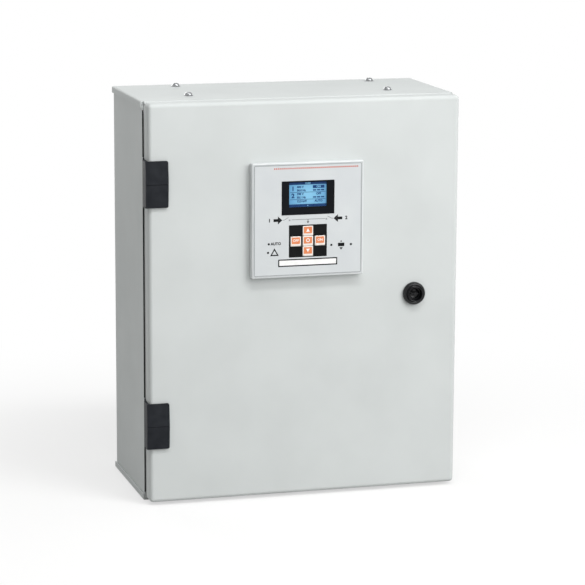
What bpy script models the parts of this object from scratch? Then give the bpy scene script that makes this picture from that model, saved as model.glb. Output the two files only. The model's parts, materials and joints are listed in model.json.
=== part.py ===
"""Automatic transfer switch in a wall-mounted steel enclosure.

Metres, +Z up. The door faces -Y, the wall face is +Y, and the floor of the enclosure lies at z = 0.
"""

import math

import bmesh
import bpy
from mathutils import Matrix, Vector

MM = 0.001
FIT = 0.3 * MM                      # gap between pieces that touch

# Enclosure
BODY_WIDTH = 400 * MM
BODY_HEIGHT = 504 * MM
OVERALL_DEPTH = 200 * MM            # wall face to door face
SHEET = 1.5 * MM
BEND_RADIUS = 3 * MM                # outer radius of folded edges
BEND_STEPS = 3
CAP_LAP = 8 * MM                    # how far the roof and floor fold over the sides
CAP_INNER_RADIUS = 0.5 * MM         # tight fold that clears the square edges of the sides
RIM_RETURN = 16 * MM                # inward return of the front rim
GLAND_CUT = (290 * MM, 90 * MM)     # cable opening in the floor
GLAND_CUT_BEHIND = 88 * MM          # middle of that opening, behind the front of the body
GLAND_CORNERS = (4 * MM, 2 * MM)    # outer corner of seal and plate, inner corner of the seal
GLAND_SEAL_WIDTH = 12 * MM
GLAND_SEAL_THICKNESS = 2 * MM
GLAND_PLATE_THICKNESS = 2 * MM
WALL_HOLE_RADIUS = 4.5 * MM
WALL_HOLE_INSET = 24 * MM           # wall holes, in from the sides, roof and floor
ROOF_SCREW_RADIUS = 5.8 * MM
ROOF_SCREW_HEIGHT = 4.2 * MM
ROOF_SCREW_SHANK = 2.9 * MM
ROOF_SCREW_LENGTH = 14 * MM
ROOF_SCREW_INSET = 70 * MM          # in from the sides
ROOF_SCREW_DEPTHS = (75 * MM, 178 * MM)     # behind the door face
ROOF_SCREW_SHIFTS = (-1 * MM, 7 * MM)       # the rear pair sits a little to the right

# Door
DOOR_LIFT = 4 * MM                  # door bottom above the floor; its top is level with the roof
DOOR_DEPTH = 23 * MM
DOOR_HEM = 6 * MM
GASKET_WIDTH = 12 * MM
GASKET_THICKNESS = 8.7 * MM
GASKET_CORNERS = (8 * MM, 4 * MM)   # outer and inner corner radius
DOOR_STUD_RADIUS = 3 * MM
DOOR_STUD_LENGTH = 14 * MM
DOOR_STUD_INSET = 60 * MM           # earth stud, in from the hinge edge and up from the bottom

# Hinges
HINGE_WIDTH = 28.5 * MM
HINGE_HEIGHT = 57.5 * MM
HINGE_PROUD = 5 * MM
HINGE_INSET = 98.5 * MM             # middle of each hinge, in from the top and bottom of the door
HINGE_CORNER = 2 * MM
HINGE_OVERHANG = 4 * MM             # leaf past the edge of the door
HINGE_WEB = 14 * MM                 # straight side of the leaf, behind the door face
HINGE_TURN_WALL = 1 * MM            # leaf where it turns in behind the door
KNUCKLE_RADIUS = 2.5 * MM
KNUCKLE_CLEARANCE = 2 * MM          # knuckle to the back of the door and to the rim
KNUCKLE_SPLIT = 20 * MM             # height of the middle knuckle with its end gaps
KNUCKLE_GAP = 0.5 * MM
LEAF_ROOM = 2.5 * MM                # leaf cut back round the middle knuckle
BRACKET_STEP = 1 * MM               # foot of the body bracket, behind the pin's axis
PIN_RADIUS = 1.3 * MM
PIN_INSET = 2 * MM                  # axis of the pin, in from the edge of the door
SEAM = 0.8 * MM                     # groove across the middle of each hinge

# Lock
LOCK_INSET = 57.7 * MM              # from the free edge of the door
LOCK_HEIGHT = 250.5 * MM            # above the door bottom
LOCK_BARREL_RADIUS = 11 * MM
LOCK_BARREL_LENGTH = 24 * MM        # behind the door face
LOCK_WALL = 2.4 * MM
LOCK_FLANGE = 3.5 * MM
LOCK_PROUD = 9 * MM
LOCK_NECK_RADIUS = 4.5 * MM
LOCK_NECK_TAIL = 2 * MM             # past the cam
LOCK_DISH_WALL = 1.8 * MM
LOCK_DISH_TAPER = 1 * MM
LOCK_NUT_WALL = 2.5 * MM
LOCK_NUT_THICKNESS = 5 * MM
BIT_PIN_RADIUS = 1.7 * MM
BIT_THICKNESS = 1.4 * MM
BIT_ROOT = 0.5 * MM                 # how far the bits are let into the dish
CAM_THICKNESS = 3 * MM
CAM_WIDTH = 16 * MM
CAM_KNEE = 18 * MM                  # where the cam is cranked, from the axis of the lock
CAM_HOOK = 9.6 * MM                 # past the edge of the rim's opening
CAM_BEHIND_RIM = 1 * MM

# Controller in the door
BEZEL_SIZE = 144 * MM
BEZEL_PROUD = 10 * MM
BEZEL_EDGE = 2.2 * MM
BEZEL_ROUND = 1.8 * MM
BEZEL_LAP = 3 * MM                  # over the edge of the cut-out in the door
CONTROLLER_DOWN = 148 * MM          # its middle, below the top of the door
OVERLAY_SHEET = 0.5 * MM
WINDOW_SIZE = (67.5 * MM, 42 * MM)
WINDOW_UP = 27.5 * MM               # its middle, above the controller's middle
WINDOW_THICKNESS = 1.5 * MM
VIEW_CORNER = 0.8 * MM
SCREEN_SIZE = (48.5 * MM, 31 * MM)
SCREEN_UP = 4 * MM                  # above the middle of the window
SCREEN_THICKNESS = 2 * MM
SCREEN_LAP = 1.5 * MM               # the screen module behind the window's edges
SCREEN_CORNER = 1 * MM
KEY_SIZE = (13.2 * MM, 12.2 * MM)
KEY_GAPS = (2.4 * MM, 0.6 * MM)     # between keys, across and up
KEYS_DOWN = 26.8 * MM               # middle key, below the controller's middle
KEY_CORNER = 1.2 * MM
KEY_ROUND = 0.5 * MM
KEY_THICKNESS = 4 * MM
KEY_PROUD = 0.4 * MM
KEY_TRAVEL = 0.8 * MM
HOUSING_DEPTH = 50 * MM             # behind the door
HOUSING_WALL_GAP = 0.7 * MM         # housing to the cut-out in the door
HOUSING_ROUND = 1.5 * MM
VENT_COUNT = 9
VENT_PITCH = 12 * MM
VENT_WIDTH = 4 * MM
VENT_DEPTH = 2.5 * MM
VENT_MARGINS = (16 * MM, 10 * MM)   # from the door and from the rear of the housing
CLAMP_HEIGHT = 22 * MM
CLAMP_LENGTH = 34 * MM
CLAMP_WIDTH = 11 * MM
CLAMP_FLANK = 4 * MM
CLAMP_TOE = 7 * MM
CLAMP_RAMP = 8.4 * MM
PLUG_SIZE = (100 * MM, 12 * MM, 12 * MM)
PLUG_DOWN = 40 * MM                 # below the controller's middle
PLUG_POLES = 12
PLUG_HOLE = 4 * MM
PLUG_HOLE_DEPTH = 4 * MM

# Mounting plate and what stands on it
PLATE_MARGINS = (30 * MM, 27 * MM)  # in from the sides, and from the roof and floor
PLATE_THICKNESS = 2 * MM
PLATE_OFF_BACK = 12 * MM
PLATE_CORNER = 34 * MM              # corners cut off to reach the wall holes
STUD_INSETS = (45 * MM, 13 * MM)    # in from the plate's edges
STUD_RADIUS = 4 * MM
STUD_SHOULDER_RADIUS = 8 * MM
STUD_TAIL = 14 * MM
RAIL_HEIGHT = 35 * MM
RAIL_CROWN = 25 * MM
RAIL_DEPTH = 7.5 * MM
RAIL_SHEET = 1 * MM
RAIL_BEND = 0.6 * MM
RAIL_SLOT = (15 * MM, 6.2 * MM)     # screw slots along the middle of a rail
RAIL_SLOT_CORNER = 3 * MM
RAIL_SLOT_PITCH = 25 * MM
RAIL_BITE = 5 * MM                  # how far devices reach back over the rail
UPPER_RAIL_DOWN = 62 * MM           # below the top of the plate
UPPER_RAIL_SPARE = 34 * MM          # free rail past each outer breaker
LOWER_RAIL_UP = 51 * MM             # above the bottom of the plate
LOWER_RAIL_INSET = 7 * MM           # from the left edge of the plate
LOWER_RAIL_SPARE = 24 * MM          # free rail past the last terminals
BREAKER_WIDTH = 72 * MM
BREAKER_HEIGHT = 85 * MM
BREAKER_DEPTH = 46 * MM
BREAKER_NOSE_HEIGHT = 45 * MM
BREAKER_NOSE_DEPTH = 16 * MM
BREAKER_CHAMFERS = (3 * MM, 2 * MM)         # shoulder and nose
BREAKER_GAP = 38 * MM               # between the two breakers
BREAKER_POLES = 4
BREAKER_POCKET = (10.8 * MM, 13.8 * MM, 9 * MM)
BREAKER_POCKET_BEHIND = 18.4 * MM   # back of the pockets, in front of the rail
BREAKER_SEAM = 0.6 * MM
BREAKER_SEAM_DEPTH = 0.8 * MM
TOGGLE_RADIUS = 8 * MM
TOGGLE_SUNK = 4.8 * MM              # axis behind the breaker's nose
TOGGLE_LEVER = 9 * MM               # past the drum
TOGGLE_TIP = 1.8 * MM
TOGGLE_ROOT = math.radians(24)      # half the drum's arc that the lever takes
TOGGLE_SIDE = 5 * MM                # in from each side of the breaker
TOGGLE_TILT = math.radians(35)
CONTACTOR_UP = 213 * MM             # above the bottom of the plate
CONTACTOR_WIDTH = 76 * MM
CONTACTOR_FOOT = 118 * MM
CONTACTOR_HEIGHT = 104 * MM
CONTACTOR_COVER_HEIGHT = 84 * MM
CONTACTOR_FOOT_DEPTH = 8 * MM
CONTACTOR_SHOULDER = 44 * MM
CONTACTOR_BASE_DEPTH = 60 * MM
CONTACTOR_DEPTH = 108 * MM
COVER_STEP = 5 * MM
SCREW_SLOT = (8 * MM, 35 * MM, 12 * MM)     # over each pole's screw, in the cover
POLES = 4
POLE_PITCH = 17 * MM
POCKET_SIZE = (12 * MM, 30 * MM, 10 * MM)   # wire pocket of one pole
POCKET_FLOOR = 4 * MM               # between the pockets and the foot
CARRIER_SIZE = (26 * MM, 14 * MM, 12 * MM)
CARRIER_PROUD = 2 * MM
CARRIER_TRAVEL = 4 * MM
CARRIER_ROUND = 1 * MM
CARRIER_GROOVE = (2 * MM, 1.2 * MM) # height and depth
SLIDE_GAP = 0.4 * MM
INTERLOCK_WIDTH = 15.4 * MM
INTERLOCK_HEIGHT = 74 * MM
INTERLOCK_DEPTH = 86 * MM
INTERLOCK_NOSE = 37 * MM
INTERLOCK_SHOULDERS = (60.2 * MM, 68.8 * MM)    # where the slope to the nose starts and ends
BAR_WIDTH = 8 * MM
BAR_THICKNESS = 2 * MM
BAR_DROP = 34 * MM                  # lower edge of the load bars under the contactors
DUCT_HEIGHT = 25 * MM
DUCT_DEPTH = 40 * MM
DUCT_WALL = 1.5 * MM
DUCT_INSET = 20 * MM                # from the plate's edges
DUCT_SLOTS = 14
DUCT_SLOT_WIDTH = 5 * MM
DUCT_SLOT_FLOOR = 12 * MM           # slots end this far in front of the plate
UPPER_DUCT_DOWN = 68 * MM           # below the upper rail
LOWER_DUCT_UP = 52 * MM             # above the lower rail
TERMINAL_HEIGHT = 52 * MM
TERMINAL_DEPTH = 42 * MM
TERMINAL_GAP = 5 * MM
TERMINAL_SHOULDER = 23.1 * MM       # where the slope to the crest starts
TERMINAL_CREST = (33.6 * MM, 32.2 * MM)     # its start in front of the rail and its height
TERMINAL_HOLE = (6 * MM, 9 * MM)    # widest wire hole and its length
TERMINAL_HOLE_SPAN = (11.8 * MM, 21 * MM)   # in front of the rail
TERMINAL_HOLE_WALL = 1.2 * MM       # least wall beside a wire hole
TERMINAL_GROUPS = {                 # count and pitch
    "supply_terminals_1": (4, 13 * MM),
    "supply_terminals_2": (4, 13 * MM),
    "load_terminals": (4, 13 * MM),
    "control_terminals": (10, 6.2 * MM),
}
EARTH_BAR_SIZE = (60 * MM, 9 * MM, 12 * MM)
EARTH_BAR_INSET = 6 * MM            # from the right edge of the plate
EARTH_BAR_FOOT = 8 * MM
EARTH_BAR_ROUND = 0.8 * MM
EARTH_BAR_HOLES = 6
EARTH_BAR_HOLE_RADIUS = 2.2 * MM

# Planes, sizes and levels that the pieces share
DOOR_WIDTH = BODY_WIDTH
DOOR_HEIGHT = BODY_HEIGHT - DOOR_LIFT
DOOR_GAP = 2 * (KNUCKLE_RADIUS + KNUCKLE_CLEARANCE)
BACK_Y = (OVERALL_DEPTH + BEZEL_PROUD) / 2
DOOR_Y = BACK_Y - OVERALL_DEPTH
DOOR_INNER_Y = DOOR_Y + SHEET
BODY_Y = DOOR_Y + DOOR_DEPTH + DOOR_GAP
DOOR_MID_Z = DOOR_LIFT + DOOR_HEIGHT / 2
BODY_MID_Z = BODY_HEIGHT / 2
SIDE_X = BODY_WIDTH / 2
RIM_HALF_X = SIDE_X - SHEET - FIT
RIM_HALF_Z = BODY_HEIGHT / 2 - SHEET - FIT
RIM_LIP = BODY_Y - (DOOR_INNER_Y + FIT + GASKET_THICKNESS + FIT)
RIM_OPENING_X = RIM_HALF_X - RIM_RETURN - SHEET
HINGE_SPAN = DOOR_HEIGHT - 2 * HINGE_INSET
DOOR_EDGE_X = -DOOR_WIDTH / 2
HINGE_X = DOOR_EDGE_X + PIN_INSET
HINGE_Y = BODY_Y - DOOR_GAP / 2
HINGE_LEFT_X = DOOR_EDGE_X - HINGE_OVERHANG
BRACKET_END_X = -(RIM_HALF_X - RIM_RETURN + BEND_RADIUS + FIT)
LOCK_X = DOOR_WIDTH / 2 - LOCK_INSET
LOCK_Z = DOOR_LIFT + LOCK_HEIGHT
LOCK_BORE_RADIUS = LOCK_BARREL_RADIUS - LOCK_WALL
LOCK_RADIUS = LOCK_BARREL_RADIUS + LOCK_FLANGE
LOCK_NUT_FLAT = 2 * (LOCK_BARREL_RADIUS + LOCK_NUT_WALL)
CAM_REACH = RIM_OPENING_X - LOCK_X + CAM_HOOK
DOOR_CUT = BEZEL_SIZE - 2 * BEZEL_LAP
CONTROLLER_Z = DOOR_LIFT + DOOR_HEIGHT - CONTROLLER_DOWN
BEZEL_Y = DOOR_Y - BEZEL_PROUD
OVERLAY_Y = BEZEL_Y + FIT / 2
RECESS_Y = OVERLAY_Y + OVERLAY_SHEET + FIT
WINDOW_Z = CONTROLLER_Z + WINDOW_UP
KEYS_Z = CONTROLLER_Z - KEYS_DOWN
KEY_PITCH = (KEY_SIZE[0] + KEY_GAPS[0], KEY_SIZE[1] + KEY_GAPS[1])
PLATE_SIZE = (BODY_WIDTH - 2 * PLATE_MARGINS[0], BODY_HEIGHT - 2 * PLATE_MARGINS[1])
PLATE_LOW_Z = PLATE_MARGINS[1]
STUD_SPAN = (PLATE_SIZE[0] - 2 * STUD_INSETS[0], PLATE_SIZE[1] - 2 * STUD_INSETS[1])
PLATE_Y = BACK_Y - SHEET - PLATE_OFF_BACK - PLATE_THICKNESS
SEAT_Y = PLATE_Y - FIT
RAIL_Y = SEAT_Y - RAIL_DEPTH
DEVICE_Y = RAIL_Y - FIT
BREAKER_SPAN = BREAKER_WIDTH + BREAKER_GAP
TOGGLE_WIDTH = BREAKER_WIDTH - 2 * TOGGLE_SIDE
UPPER_RAIL_Z = PLATE_LOW_Z + PLATE_SIZE[1] - UPPER_RAIL_DOWN
UPPER_RAIL_LENGTH = BREAKER_SPAN + BREAKER_WIDTH + 2 * UPPER_RAIL_SPARE
LOWER_RAIL_Z = PLATE_LOW_Z + LOWER_RAIL_UP
LOWER_RAIL_LEFT = LOWER_RAIL_INSET - PLATE_SIZE[0] / 2
TERMINALS_LENGTH = sum(count * pitch + TERMINAL_GAP for count, pitch in TERMINAL_GROUPS.values())
LOWER_RAIL_LENGTH = TERMINALS_LENGTH + LOWER_RAIL_SPARE
CONTACTOR_SPAN = CONTACTOR_WIDTH + INTERLOCK_WIDTH + 2 * FIT
CONTACTOR_Z = PLATE_LOW_Z + CONTACTOR_UP
CONTACTOR_Y = SEAT_Y - CONTACTOR_DEPTH
POCKET_Y = SEAT_Y - CONTACTOR_FOOT_DEPTH - POCKET_FLOOR
DUCT_LENGTH = PLATE_SIZE[0] - 2 * DUCT_INSET
UPPER_DUCT_Z = UPPER_RAIL_Z - UPPER_DUCT_DOWN
LOWER_DUCT_Z = LOWER_RAIL_Z + LOWER_DUCT_UP

# Colour (linear), roughness and metallic value of each finish
FINISHES = {
    "grey_paint": ((0.62, 0.63, 0.62), 0.45, 0.0),
    "black_plastic": ((0.02, 0.022, 0.025), 0.45, 0.0),
    "foam": ((0.03, 0.03, 0.03), 0.9, 0.0),
    "zinc": ((0.62, 0.62, 0.60), 0.35, 1.0),
    "steel": ((0.55, 0.55, 0.55), 0.3, 1.0),
    "pale_plastic": ((0.64, 0.66, 0.67), 0.5, 0.0),
    "printed_sheet": ((0.62, 0.65, 0.66), 0.5, 0.0),
    "window": ((0.01, 0.012, 0.016), 0.15, 0.0),
    "screen": ((0.13, 0.33, 0.49), 0.3, 0.0),
    "orange_rubber": ((0.82, 0.35, 0.20), 0.6, 0.0),
    "white_plastic": ((0.75, 0.75, 0.73), 0.5, 0.0),
    "grey_plastic": ((0.30, 0.31, 0.32), 0.55, 0.0),
    "green_plastic": ((0.05, 0.30, 0.12), 0.5, 0.0),
    "copper": ((0.72, 0.32, 0.18), 0.3, 1.0),
    "brass": ((0.70, 0.52, 0.22), 0.3, 1.0),
}

# Outline planes: local x, local y and the direction of thickness
PLANES = {
    "top": ((1, 0, 0), (0, 1, 0), (0, 0, 1)),
    "front": ((1, 0, 0), (0, 0, 1), (0, -1, 0)),
    "side": ((0, 1, 0), (0, 0, 1), (1, 0, 0)),
}


def clear_scene():
    for old in list(bpy.data.objects):
        bpy.data.objects.remove(old, do_unlink=True)


def new_collection(name):
    made = bpy.data.collections.new(name)
    bpy.context.scene.collection.children.link(made)
    return made


clear_scene()
parts = new_collection("automatic_transfer_switch")
cutters = new_collection("cutters")


def paint(piece, finish):
    colour, roughness, metallic = FINISHES[finish]
    made = bpy.data.materials.new(f"{piece.name}_{finish}")
    made.use_nodes = True
    shader = made.node_tree.nodes["Principled BSDF"]
    shader.inputs["Base Color"].default_value = (*colour, 1.0)
    shader.inputs["Roughness"].default_value = roughness
    shader.inputs["Metallic"].default_value = metallic
    piece.data.materials.clear()
    piece.data.materials.append(made)
    return piece


def mesh_piece(name, bm):
    mesh = bpy.data.meshes.new(name)
    bm.to_mesh(mesh)
    bm.free()
    piece = bpy.data.objects.new(name, mesh)
    parts.objects.link(piece)
    return piece


def round_edges(piece, width, segments=2):
    bevel = piece.modifiers.new("rounded", "BEVEL")
    bevel.width = width
    bevel.segments = segments
    bevel.limit_method = "ANGLE"
    bevel.angle_limit = math.radians(40)
    return piece


def thicken(piece, thickness):
    wall = piece.modifiers.new("wall", "SOLIDIFY")
    wall.thickness = thickness
    wall.offset = -1
    wall.use_even_offset = True
    return piece


def smooth(piece):
    piece.data.shade_smooth()
    piece.data.set_sharp_from_angle(angle=math.radians(35))
    return piece


def blocks(name, corners):
    """Boxes between opposite corners, held in one mesh whose origin is the middle of the first box."""
    first = (Vector(corners[0][0]) + Vector(corners[0][1])) / 2
    bm = bmesh.new()
    for low, high in corners:
        low, high = Vector(low), Vector(high)
        place = Matrix.Translation((low + high) / 2 - first)
        bmesh.ops.create_cube(bm, size=1, matrix=place @ Matrix.Diagonal((*(high - low), 1)))
    piece = mesh_piece(name, bm)
    piece.location = first
    return piece


def block(name, low, high):
    return blocks(name, [(low, high)])


def drums(name, radius, ends, sides=24):
    """Cylinders between pairs of end points, held in one mesh whose origin is the first end."""
    first = Vector(ends[0][0])
    bm = bmesh.new()
    for start, end in ends:
        start, end = Vector(start), Vector(end)
        along = end - start
        turn = along.to_track_quat("Z", "Y").to_matrix().to_4x4()
        place = Matrix.Translation((start + end) / 2 - first) @ turn
        size = {"radius1": radius, "radius2": radius, "depth": along.length}
        bmesh.ops.create_cone(bm, cap_ends=True, segments=sides, matrix=place, **size)
    piece = mesh_piece(name, bm)
    piece.location = first
    return smooth(piece)


def drum(name, radius, start, end, sides=24):
    return drums(name, radius, [(start, end)], sides)


def turned(name, profile, base, direction, steps=28, ring=False):
    """A profile of (radius, height) points from the top of the outer side down, turned about direction."""
    bm = bmesh.new()
    points = [bm.verts.new((radius, 0, height)) for radius, height in profile]
    runs = list(zip(points, points[1:]))
    if ring:
        runs.append((points[-1], points[0]))
    for run in runs:
        bm.edges.new(run)
    piece = mesh_piece(name, bm)
    piece.location = base
    piece.rotation_euler = Vector(direction).to_track_quat("Z", "Y").to_euler()
    screw = piece.modifiers.new("turned", "SCREW")
    screw.axis = "Z"
    screw.angle = 2 * math.pi
    screw.steps = steps
    screw.render_steps = steps
    screw.use_merge_vertices = True
    screw.merge_threshold = 0.00001
    return piece


def outline_piece(name, outlines, thickness, plane, middle):
    """Flat closed outlines, the first one round the others, which are holes, made a plate."""
    curve = bpy.data.curves.new(name, "CURVE")
    curve.dimensions = "2D"
    curve.fill_mode = "BOTH"
    curve.extrude = thickness / 2
    for outline in outlines:
        spline = curve.splines.new("POLY")
        spline.points.add(len(outline) - 1)
        for point, (x, y) in zip(spline.points, outline):
            point.co = (x, y, 0, 1)
        spline.use_cyclic_u = True
    flat = bpy.data.objects.new(name, curve)
    parts.objects.link(flat)
    turn = Matrix(PLANES[plane]).transposed().to_4x4()
    flat.matrix_world = Matrix.Translation(middle) @ turn
    bpy.context.view_layer.update()
    mesh = bpy.data.meshes.new_from_object(flat.evaluated_get(bpy.context.evaluated_depsgraph_get()))
    bm = bmesh.new()
    bm.from_mesh(mesh)
    bmesh.ops.remove_doubles(bm, verts=bm.verts, dist=0.000001)
    bm.to_mesh(mesh)
    bm.free()
    place = flat.matrix_world.copy()
    bpy.data.objects.remove(flat)
    mesh.name = name
    piece = bpy.data.objects.new(name, mesh)
    parts.objects.link(piece)
    piece.matrix_world = place
    return piece


def folded_sheet(name, profile, length, plane, middle, sheet, bend):
    """An open profile with its outer skin on the right, run along its plane's thickness and folded."""
    bm = bmesh.new()
    near = [bm.verts.new((x, y, -length / 2)) for x, y in profile]
    far = [bm.verts.new((x, y, length / 2)) for x, y in profile]
    for index in range(len(profile) - 1):
        bm.faces.new((near[index], near[index + 1], far[index + 1], far[index]))
    piece = mesh_piece(name, bm)
    piece.matrix_world = Matrix.Translation(middle) @ Matrix(PLANES[plane]).transposed().to_4x4()
    if bend:
        round_edges(piece, bend, BEND_STEPS)
    return thicken(piece, sheet)


def face_outwards(bm, inside):
    """Turn an open surface so that its faces look away from a point that lies inside them all."""
    bmesh.ops.recalc_face_normals(bm, faces=bm.faces)
    bm.faces.ensure_lookup_table()
    first = bm.faces[0]
    if first.normal.dot(inside - first.calc_center_median()) > 0:
        bmesh.ops.reverse_faces(bm, faces=bm.faces)


def rectangle(width, height, corner=0.0, steps=4, middle=(0, 0)):
    """Outline of a rectangle, with round corners where corner is set."""
    x, y = width / 2 - corner, height / 2 - corner
    points = []
    for quarter, (across, up) in enumerate(((x, y), (-x, y), (-x, -y), (x, -y))):
        turns = steps if corner else 0
        for step in range(turns + 1):
            angle = math.pi / 2 * (quarter + (step / turns if turns else 0))
            points.append(
                (middle[0] + across + corner * math.cos(angle), middle[1] + up + corner * math.sin(angle))
            )
    return points


def mirrored(half):
    """A side outline from its upper half, listed from back to front as (depth, height)."""
    return [(-depth, up) for depth, up in half] + [(-depth, -up) for depth, up in reversed(half)]


def as_cutter(tool):
    for old in tool.users_collection:
        old.objects.unlink(tool)
    cutters.objects.link(tool)
    tool.hide_render = True
    tool.display_type = "WIRE"


def combine(piece, tool, operation):
    as_cutter(tool)
    boolean = piece.modifiers.new(tool.name, "BOOLEAN")
    boolean.operation = operation
    boolean.solver = "EXACT"
    boolean.object = tool
    return piece


def cut(piece, tool):
    return combine(piece, tool, "DIFFERENCE")


def fuse(piece, tool):
    return combine(piece, tool, "UNION")


def axis_empty(name, place):
    empty = bpy.data.objects.new(name, None)
    empty.location = place
    parts.objects.link(empty)
    return empty


def carry(empty, pieces):
    """Parent pieces to an empty without moving them."""
    bpy.context.view_layer.update()
    for piece in pieces:
        piece.parent = empty
        piece.matrix_parent_inverse = empty.matrix_world.inverted()


def evenly(count, pitch):
    return [(index - (count - 1) / 2) * pitch for index in range(count)]


def body_wrap():
    """Back and sides folded from one sheet, with welded studs for the mounting plate."""
    depth = BACK_Y - BODY_Y
    middle = (0, (BACK_Y + BODY_Y) / 2, BODY_MID_Z)
    profile = [(SIDE_X, -depth / 2), (SIDE_X, depth / 2), (-SIDE_X, depth / 2), (-SIDE_X, -depth / 2)]
    height = BODY_HEIGHT - 2 * (SHEET + FIT)
    wrap = folded_sheet("body_wrap", profile, height, "top", middle, SHEET, BEND_RADIUS)
    shoulder_top = PLATE_OFF_BACK - FIT
    stud_top = PLATE_OFF_BACK + PLATE_THICKNESS + STUD_TAIL
    profile = [
        (0, stud_top),
        (STUD_RADIUS, stud_top),
        (STUD_RADIUS, shoulder_top),
        (STUD_SHOULDER_RADIUS, shoulder_top),
        (STUD_SHOULDER_RADIUS, -SHEET / 2),
        (0, -SHEET / 2),
    ]
    for index, (x, z) in enumerate(corner_points(*STUD_SPAN)):
        stud = turned(f"stud_{index + 1}", profile, (x, BACK_Y - SHEET, z), (0, -1, 0), steps=12)
        fuse(wrap, stud)
    holes = corner_points(BODY_WIDTH - 2 * WALL_HOLE_INSET, BODY_HEIGHT - 2 * WALL_HOLE_INSET)
    ends = [((x, BACK_Y - 2 * SHEET, z), (x, BACK_Y + SHEET, z)) for x, z in holes]
    cut(wrap, drums("wall_holes", WALL_HOLE_RADIUS, ends, sides=16))
    return paint(wrap, "grey_paint")


def corner_points(width, height):
    """Four places about the middle of the back."""
    return [(x, BODY_MID_Z + z) for x in (-width / 2, width / 2) for z in (-height / 2, height / 2)]


def cap(name, level, down):
    """Roof or floor: a sheet folded over both sides of the wrap, with its outer skin at level."""
    half = down * (SIDE_X + FIT + SHEET)
    profile = [(-half, down * CAP_LAP), (-half, 0), (half, 0), (half, down * CAP_LAP)]
    middle = (0, (BACK_Y + BODY_Y) / 2, level)
    bend = SHEET + CAP_INNER_RADIUS
    made = folded_sheet(name, profile, BACK_Y - BODY_Y, "front", middle, SHEET, bend)
    return paint(made, "grey_paint")


def roof_screw_places():
    places = []
    for depth, shift in zip(ROOF_SCREW_DEPTHS, ROOF_SCREW_SHIFTS):
        for side in (-1, 1):
            places.append((side * (SIDE_X - ROOF_SCREW_INSET) + shift, DOOR_Y + depth))
    return places


def dome(radius, height, base, steps=4):
    """Points of a round head from its crown to its rim."""
    points = []
    for step in range(steps + 1):
        angle = math.pi / 2 * step / steps
        points.append((radius * math.sin(angle), base + height * math.cos(angle)))
    return points


def roof_and_screws():
    roof = cap("roof_cap", BODY_HEIGHT, -1)
    holes = []
    for index, (x, y) in enumerate(roof_screw_places()):
        profile = dome(ROOF_SCREW_RADIUS, ROOF_SCREW_HEIGHT - FIT, FIT)
        profile += [
            (ROOF_SCREW_SHANK, FIT),
            (ROOF_SCREW_SHANK, -ROOF_SCREW_LENGTH),
            (0, -ROOF_SCREW_LENGTH),
        ]
        screw = turned(f"roof_screw_{index + 1}", profile, (x, y, BODY_HEIGHT), (0, 0, 1), steps=16)
        paint(screw, "steel")
        holes.append(((x, y, BODY_HEIGHT - 2 * SHEET), (x, y, BODY_HEIGHT + SHEET)))
    cut(roof, drums("roof_holes", ROOF_SCREW_SHANK + FIT, holes, sides=16))


def floor_and_gland():
    floor = cap("floor_cap", 0, 1)
    middle_y = BODY_Y + GLAND_CUT_BEHIND
    width, depth = GLAND_CUT
    cut(
        floor,
        block(
            "gland_opening",
            (-width / 2, middle_y - depth / 2, -SHEET),
            (width / 2, middle_y + depth / 2, 2 * SHEET),
        ),
    )
    outer_corner, inner_corner = GLAND_CORNERS
    outer = rectangle(width + 2 * GLAND_SEAL_WIDTH, depth + 2 * GLAND_SEAL_WIDTH, outer_corner)
    inner = rectangle(width, depth, inner_corner)
    seal_z = SHEET + FIT + GLAND_SEAL_THICKNESS / 2
    middle = (0, middle_y, seal_z)
    seal = outline_piece("gland_gasket", [outer, inner], GLAND_SEAL_THICKNESS, "top", middle)
    paint(seal, "foam")
    plate_z = seal_z + GLAND_SEAL_THICKNESS / 2 + FIT + GLAND_PLATE_THICKNESS / 2
    plate = outline_piece("gland_plate", [outer], GLAND_PLATE_THICKNESS, "top", (0, middle_y, plate_z))
    paint(plate, "zinc")


def rim_frame():
    """Front rim: a return on all four sides and a lip that runs forward to the door gasket."""
    bm = bmesh.new()
    size = Matrix.Diagonal((2 * RIM_HALF_X, 2 * RIM_HALF_Z, 1, 1))
    turn = Matrix(PLANES["front"]).transposed().to_4x4()
    bmesh.ops.create_grid(bm, x_segments=1, y_segments=1, size=0.5, matrix=turn @ size)
    opening = list(bm.faces)
    bmesh.ops.inset_individual(bm, faces=opening, thickness=RIM_RETURN, use_even_offset=True)
    edges = list(opening[0].edges)
    bmesh.ops.delete(bm, geom=opening, context="FACES_ONLY")
    made = bmesh.ops.extrude_edge_only(bm, edges=edges)["geom"]
    moved = [item for item in made if isinstance(item, bmesh.types.BMVert)]
    bmesh.ops.translate(bm, verts=moved, vec=(0, -RIM_LIP, 0))
    face_outwards(bm, Vector((0, RIM_LIP, 0)))
    rim = mesh_piece("rim_frame", bm)
    rim.location = (0, BODY_Y, BODY_MID_Z)
    round_edges(rim, BEND_RADIUS, BEND_STEPS)
    thicken(rim, SHEET)
    return paint(rim, "grey_paint")


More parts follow.
